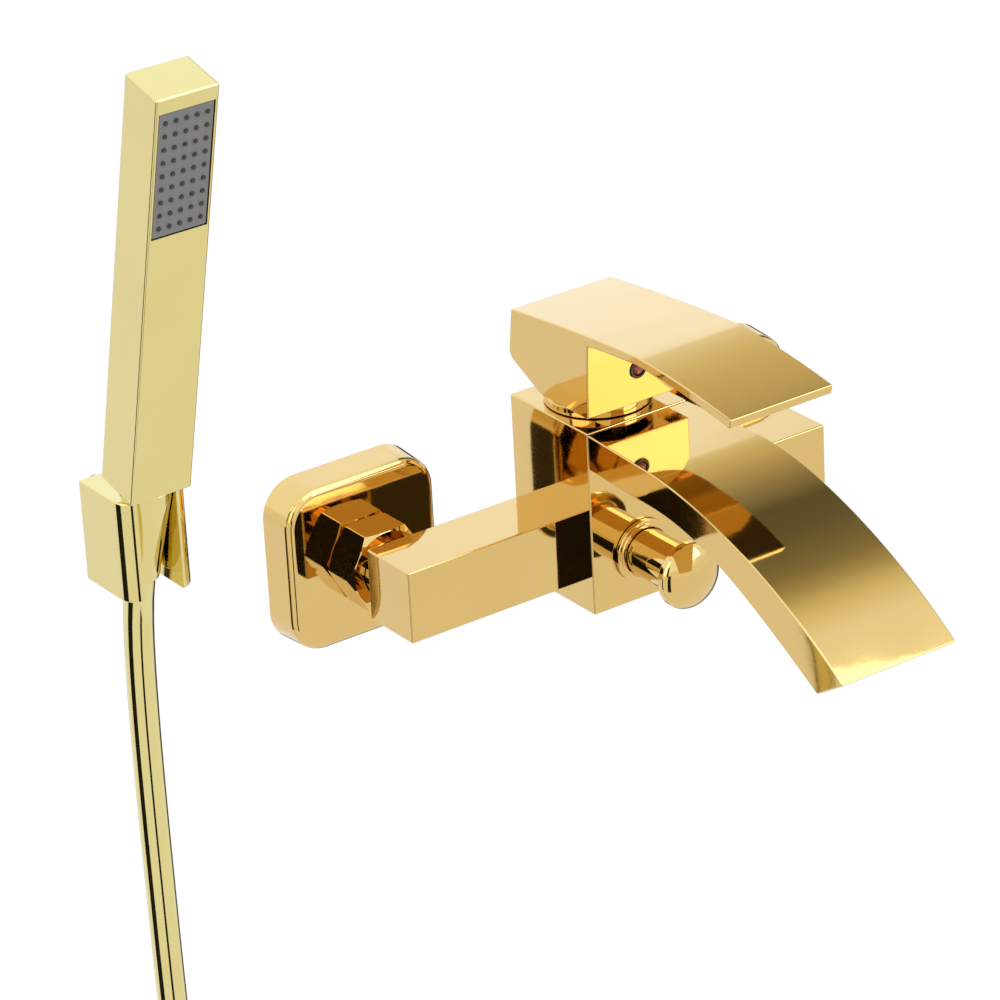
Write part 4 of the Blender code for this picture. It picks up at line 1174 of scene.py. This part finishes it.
def addEndNut(shape):
    low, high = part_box("hose_end_nut")
    middle = (low + high) / 2
    half = (high.x - low.x) / 2 / mm
    nut = addHexNut("hoseEndNut", shape["flats"], -half, half, shape["lead"])
    floor = shape["floor"] - half
    bore = [(0, floor), (shape["bore"], floor), (shape["bore"], half + 2), (0, half + 2)]
    combine(nut, spinProfile("bore", bore, steps=48), "DIFFERENCE")
    # along X with flats above and below
    turn = Matrix.Rotation(math.pi / 2, 4, "Y") @ Matrix.Rotation(math.pi / 2, 4, "Z")
    nut.data.transform(Matrix.Translation(middle) @ turn)
    smoothShade(nut, 25)
    deliver(nut, "hand_shower", gold, "hose_end_nut")
    return nut


endNut = addEndNut(endNutShape)
print("hand shower and bracket made")


# CAD pieces that keep their shape get their finish
finishes = {
    "left_inlet_washer": fibre, "right_inlet_washer": fibre,
    "cartridge_gasket": nitrile, "cartridge_base": acetal, "cartridge_housing": acetal,
    "fixed_ceramic_disc": alumina, "moving_ceramic_disc": alumina,
    "cartridge_nut": turnedBrass, "cartridge_carrier": acetal, "stem_pin": stainless,
    "cartridge_stem": stainless, "lever_grub_screw": stainless, "flow_straightener": acetal,
    "diverter_stem": stainless, "diverter_valve_disc": nitrile,
    "nozzle_mat": silicone, "shower_inlet_thread": turnedBrass, "hose_top_washer": nitrile,
    "bracket_wall_plate": stainless, "upper_bracket_screw": stainless,
    "lower_bracket_screw": stainless, "hose_tie": blackAbs,
}
for name, finish in finishes.items():
    nodes[name].data.materials.clear()
    nodes[name].data.materials.append(finish)


# studio: white floor and soft lamps, with black cards that only the metal mirrors
studio = {
    "floorZ": -0.62,
    "floorSize": 9.0,
    "paintedFloorShade": 0.05,  # painted shade: how bright the metal mirrors the floor behind the mixer; the floor material dims it there, no lamp does
    "lamps": {
        "overheadSoftbox": {
            "place": (0.35, -1.0, 1.5), "size": (1.6, 1.3), "power": 9.0, "colour": "FFFFFF",
        },
        "leftFill": {
            "place": (-1.6, -0.4, 0.7), "size": (1.2, 1.4), "power": 5.0, "colour": "FFFFFF",
        },
        "frontSoftbox": {
            "place": (0.56, -0.92, 0.53), "size": (0.6, 0.5), "power": 2.3, "colour": "D9E6FF",
        },
    },
    "cards": {
        "nearCard": {"place": (-0.322, -0.47, -0.2), "size": (0.12, 0.4)},
        "cameraCard": {"place": (-0.405, -0.414, 0.1), "size": (0.1, 0.24)},
        "leftCard": {"place": (-0.79, 0.153, -0.34), "size": (0.45, 0.48)},
    },
}

# what polished metal mirrors: bright to the rear and in front, dim overhead
worldSetup = {
    "mirrored": 1.5,
    "soft": 0.78,
    "level": "D6D5D2",
    "high": "E4EBF5",
    "ceilingStarts": (0.05, 0.2),  # rise of the direction above level
    "ceilingEnds": (0.49, 0.525),  # short of where the hand shower's top face looks
    "ceiling": [  # share of the direction that points at the wall, colour mirrored there
        (-1.0, "D6DAE0"), (-0.25, "E4EBF5"), (-0.09, "DADDE6"), (-0.04, "CFCFC8"), (0.01, "BDBAA6"),
        (0.06, "98947B"), (0.11, "7C7766"), (0.16, "6D6A5A"), (0.25, "5A5950"), (0.34, "555448"),
        (0.39, "747164"), (0.44, "888270"), (0.48, "9A937E"), (0.52, "A69F86"), (0.56, "B4AC8F"),
        (0.61, "BDB699"), (0.65, "C6C1A8"), (0.69, "D2D1C6"), (0.72, "E2E8F0"), (0.79, "E8F0FC"),
        (1.0, "E8F0FC"),
    ],
}


def addStep(tree, source, least, most):
    # 0 below least, 1 above most, smooth between
    return addNode(
        tree, "ShaderNodeMapRange",
        {"interpolation_type": "SMOOTHSTEP", "From Min": least, "From Max": most},
        {"Value": source},
    ).outputs["Result"]


def addFloor(setup):
    deselect()
    bpy.ops.mesh.primitive_plane_add(size=setup["floorSize"], location=(0, 0, setup["floorZ"]))
    floor = named("studioFloor")
    made, tree, surface = newMaterial("palePaper")
    surface.inputs["Base Color"].default_value = fromHex("F2F1EE")
    surface.inputs["Roughness"].default_value = 0.9
    light = addNode(tree, "ShaderNodeLightPath")
    where = addNode(tree, "ShaderNodeTexCoord").outputs["Object"]
    split = addNode(tree, "ShaderNodeSeparateXYZ", {}, {"Vector": where})
    beside = addStep(tree, split.outputs["X"], 0.0, 0.35)
    behind = addStep(tree, split.outputs["Y"], -0.05, 0.3)
    # painted shade: behind and right of the mixer the floor glows dim for glossy rays only, so the
    # metal mirrors a dark patch
    corner = addNode(
        tree, "ShaderNodeMath", {"operation": "MULTIPLY"}, {0: beside, 1: behind}
    )
    mirrored = addNode(
        tree, "ShaderNodeMapRange", {"To Min": 0.95, "To Max": setup["paintedFloorShade"]},
        {"Value": corner.outputs[0]},
    )
    level = addNode(
        tree, "ShaderNodeMix", {"data_type": "FLOAT", 2: 1.0},
        {0: light.outputs["Is Glossy Ray"], 3: mirrored.outputs["Result"]},
    )
    glow = addNode(
        tree, "ShaderNodeEmission", {"Color": (1, 1, 1, 1)}, {"Strength": level.outputs[0]}
    )
    seen = addNode(
        tree, "ShaderNodeMath", {"operation": "MAXIMUM"},
        {0: light.outputs["Is Camera Ray"], 1: light.outputs["Is Glossy Ray"]},
    )
    through = addNode(
        tree, "ShaderNodeMath", {"operation": "MAXIMUM"},
        {0: seen.outputs[0], 1: light.outputs["Is Transmission Ray"]},
    )
    mixed = addNode(
        tree, "ShaderNodeMixShader", {},
        {0: through.outputs[0], 1: surface.outputs[0], 2: glow.outputs[0]},
    )
    tree.links.new(mixed.outputs[0], tree.nodes["Material Output"].inputs["Surface"])
    floor.data.materials.append(made)


def addLamp(name, setup):
    lamp = bpy.data.lights.new(name, "AREA")
    lamp.shape = "RECTANGLE"
    lamp.size, lamp.size_y = setup["size"]
    lamp.energy = setup["power"]
    lamp.color = fromHex(setup["colour"])[:3]
    made = bpy.data.objects.new(name, lamp)
    made.location = setup["place"]
    aim = Vector((-0.02, -0.08, 0.02)) - Vector(setup["place"])
    made.rotation_euler = aim.to_track_quat("-Z", "Y").to_euler()
    made.visible_camera = False
    bpy.context.scene.collection.objects.link(made)


def addCard(name, setup):
    deselect()
    bpy.ops.mesh.primitive_plane_add(size=1, location=(0, 0, 0))
    card = named(name)
    aim = Vector((0, -0.05, 0.0)) - Vector(setup["place"])
    turn = aim.to_track_quat("Z", "Y").to_matrix().to_4x4()
    size = Matrix.Diagonal((*setup["size"], 1, 1))
    card.data.transform(Matrix.Translation(setup["place"]) @ turn @ size)
    felt, _, surface = newMaterial("blackFelt")
    surface.inputs["Base Color"].default_value = fromHex("070604")
    surface.inputs["Roughness"].default_value = 1.0
    card.data.materials.append(felt)
    card.visible_camera = False
    card.visible_shadow = False
    card.visible_diffuse = False


def addRamp(tree, source, stops, low, high):
    # stops are (value, colour); value runs from low to high
    span = addNode(
        tree, "ShaderNodeMapRange", {"From Min": low, "From Max": high}, {"Value": source}
    )
    ramp = addNode(tree, "ShaderNodeValToRGB", {}, {"Fac": span.outputs["Result"]})
    band = ramp.color_ramp
    while len(band.elements) < len(stops):
        band.elements.new(0.5)
    for element, (value, colour) in zip(band.elements, stops):
        element.position = (value - low) / (high - low)
        element.color = fromHex(colour)
    return ramp.outputs["Color"]


def addWorld(setup):
    world = bpy.data.worlds.new("studioWorld")
    bpy.context.scene.world = world
    world.use_nodes = True
    tree = world.node_tree
    tree.nodes.clear()
    where = addNode(tree, "ShaderNodeTexCoord").outputs["Generated"]
    split = addNode(tree, "ShaderNodeSeparateXYZ", {}, {"Vector": where})
    ceiling = addRamp(tree, split.outputs["Y"], setup["ceiling"], -1.0, 1.0)
    raised = addStep(tree, split.outputs["Z"], *setup["ceilingStarts"])
    sideways = addStep(tree, split.outputs["X"], *setup["ceilingEnds"])
    across = addNode(
        tree, "ShaderNodeMix", {"data_type": "RGBA", 6: fromHex(setup["high"])},
        {"Factor": sideways, 7: ceiling},
    )
    upward = addNode(
        tree, "ShaderNodeMix", {"data_type": "RGBA", 6: fromHex(setup["level"])},
        {"Factor": raised, 7: across.outputs[2]},
    )
    mirrored = addNode(
        tree, "ShaderNodeBackground", {"Strength": setup["mirrored"]}, {"Color": upward.outputs[2]}
    )
    soft = addNode(tree, "ShaderNodeBackground", {"Color": (1, 1, 1, 1), "Strength": setup["soft"]})
    seen = addNode(tree, "ShaderNodeBackground", {"Color": (1, 1, 1, 1), "Strength": 1.0})
    light = addNode(tree, "ShaderNodeLightPath")
    first = addNode(
        tree, "ShaderNodeMixShader", {},
        {0: light.outputs["Is Glossy Ray"], 1: soft.outputs[0], 2: mirrored.outputs[0]},
    )
    clear = addNode(
        tree, "ShaderNodeMath", {"operation": "MAXIMUM"},
        {0: light.outputs["Is Camera Ray"], 1: light.outputs["Is Transmission Ray"]},
    )
    second = addNode(
        tree, "ShaderNodeMixShader", {},
        {0: clear.outputs[0], 1: first.outputs[0], 2: seen.outputs[0]},
    )
    addNode(tree, "ShaderNodeOutputWorld", {}, {"Surface": second.outputs[0]})


addFloor(studio)
for name, setup in studio["lamps"].items():
    addLamp(name, setup)
for name, setup in studio["cards"].items():
    addCard(name, setup)
addWorld(worldSetup)
bpy.context.scene.view_settings.view_transform = "Standard"
print("studio made")
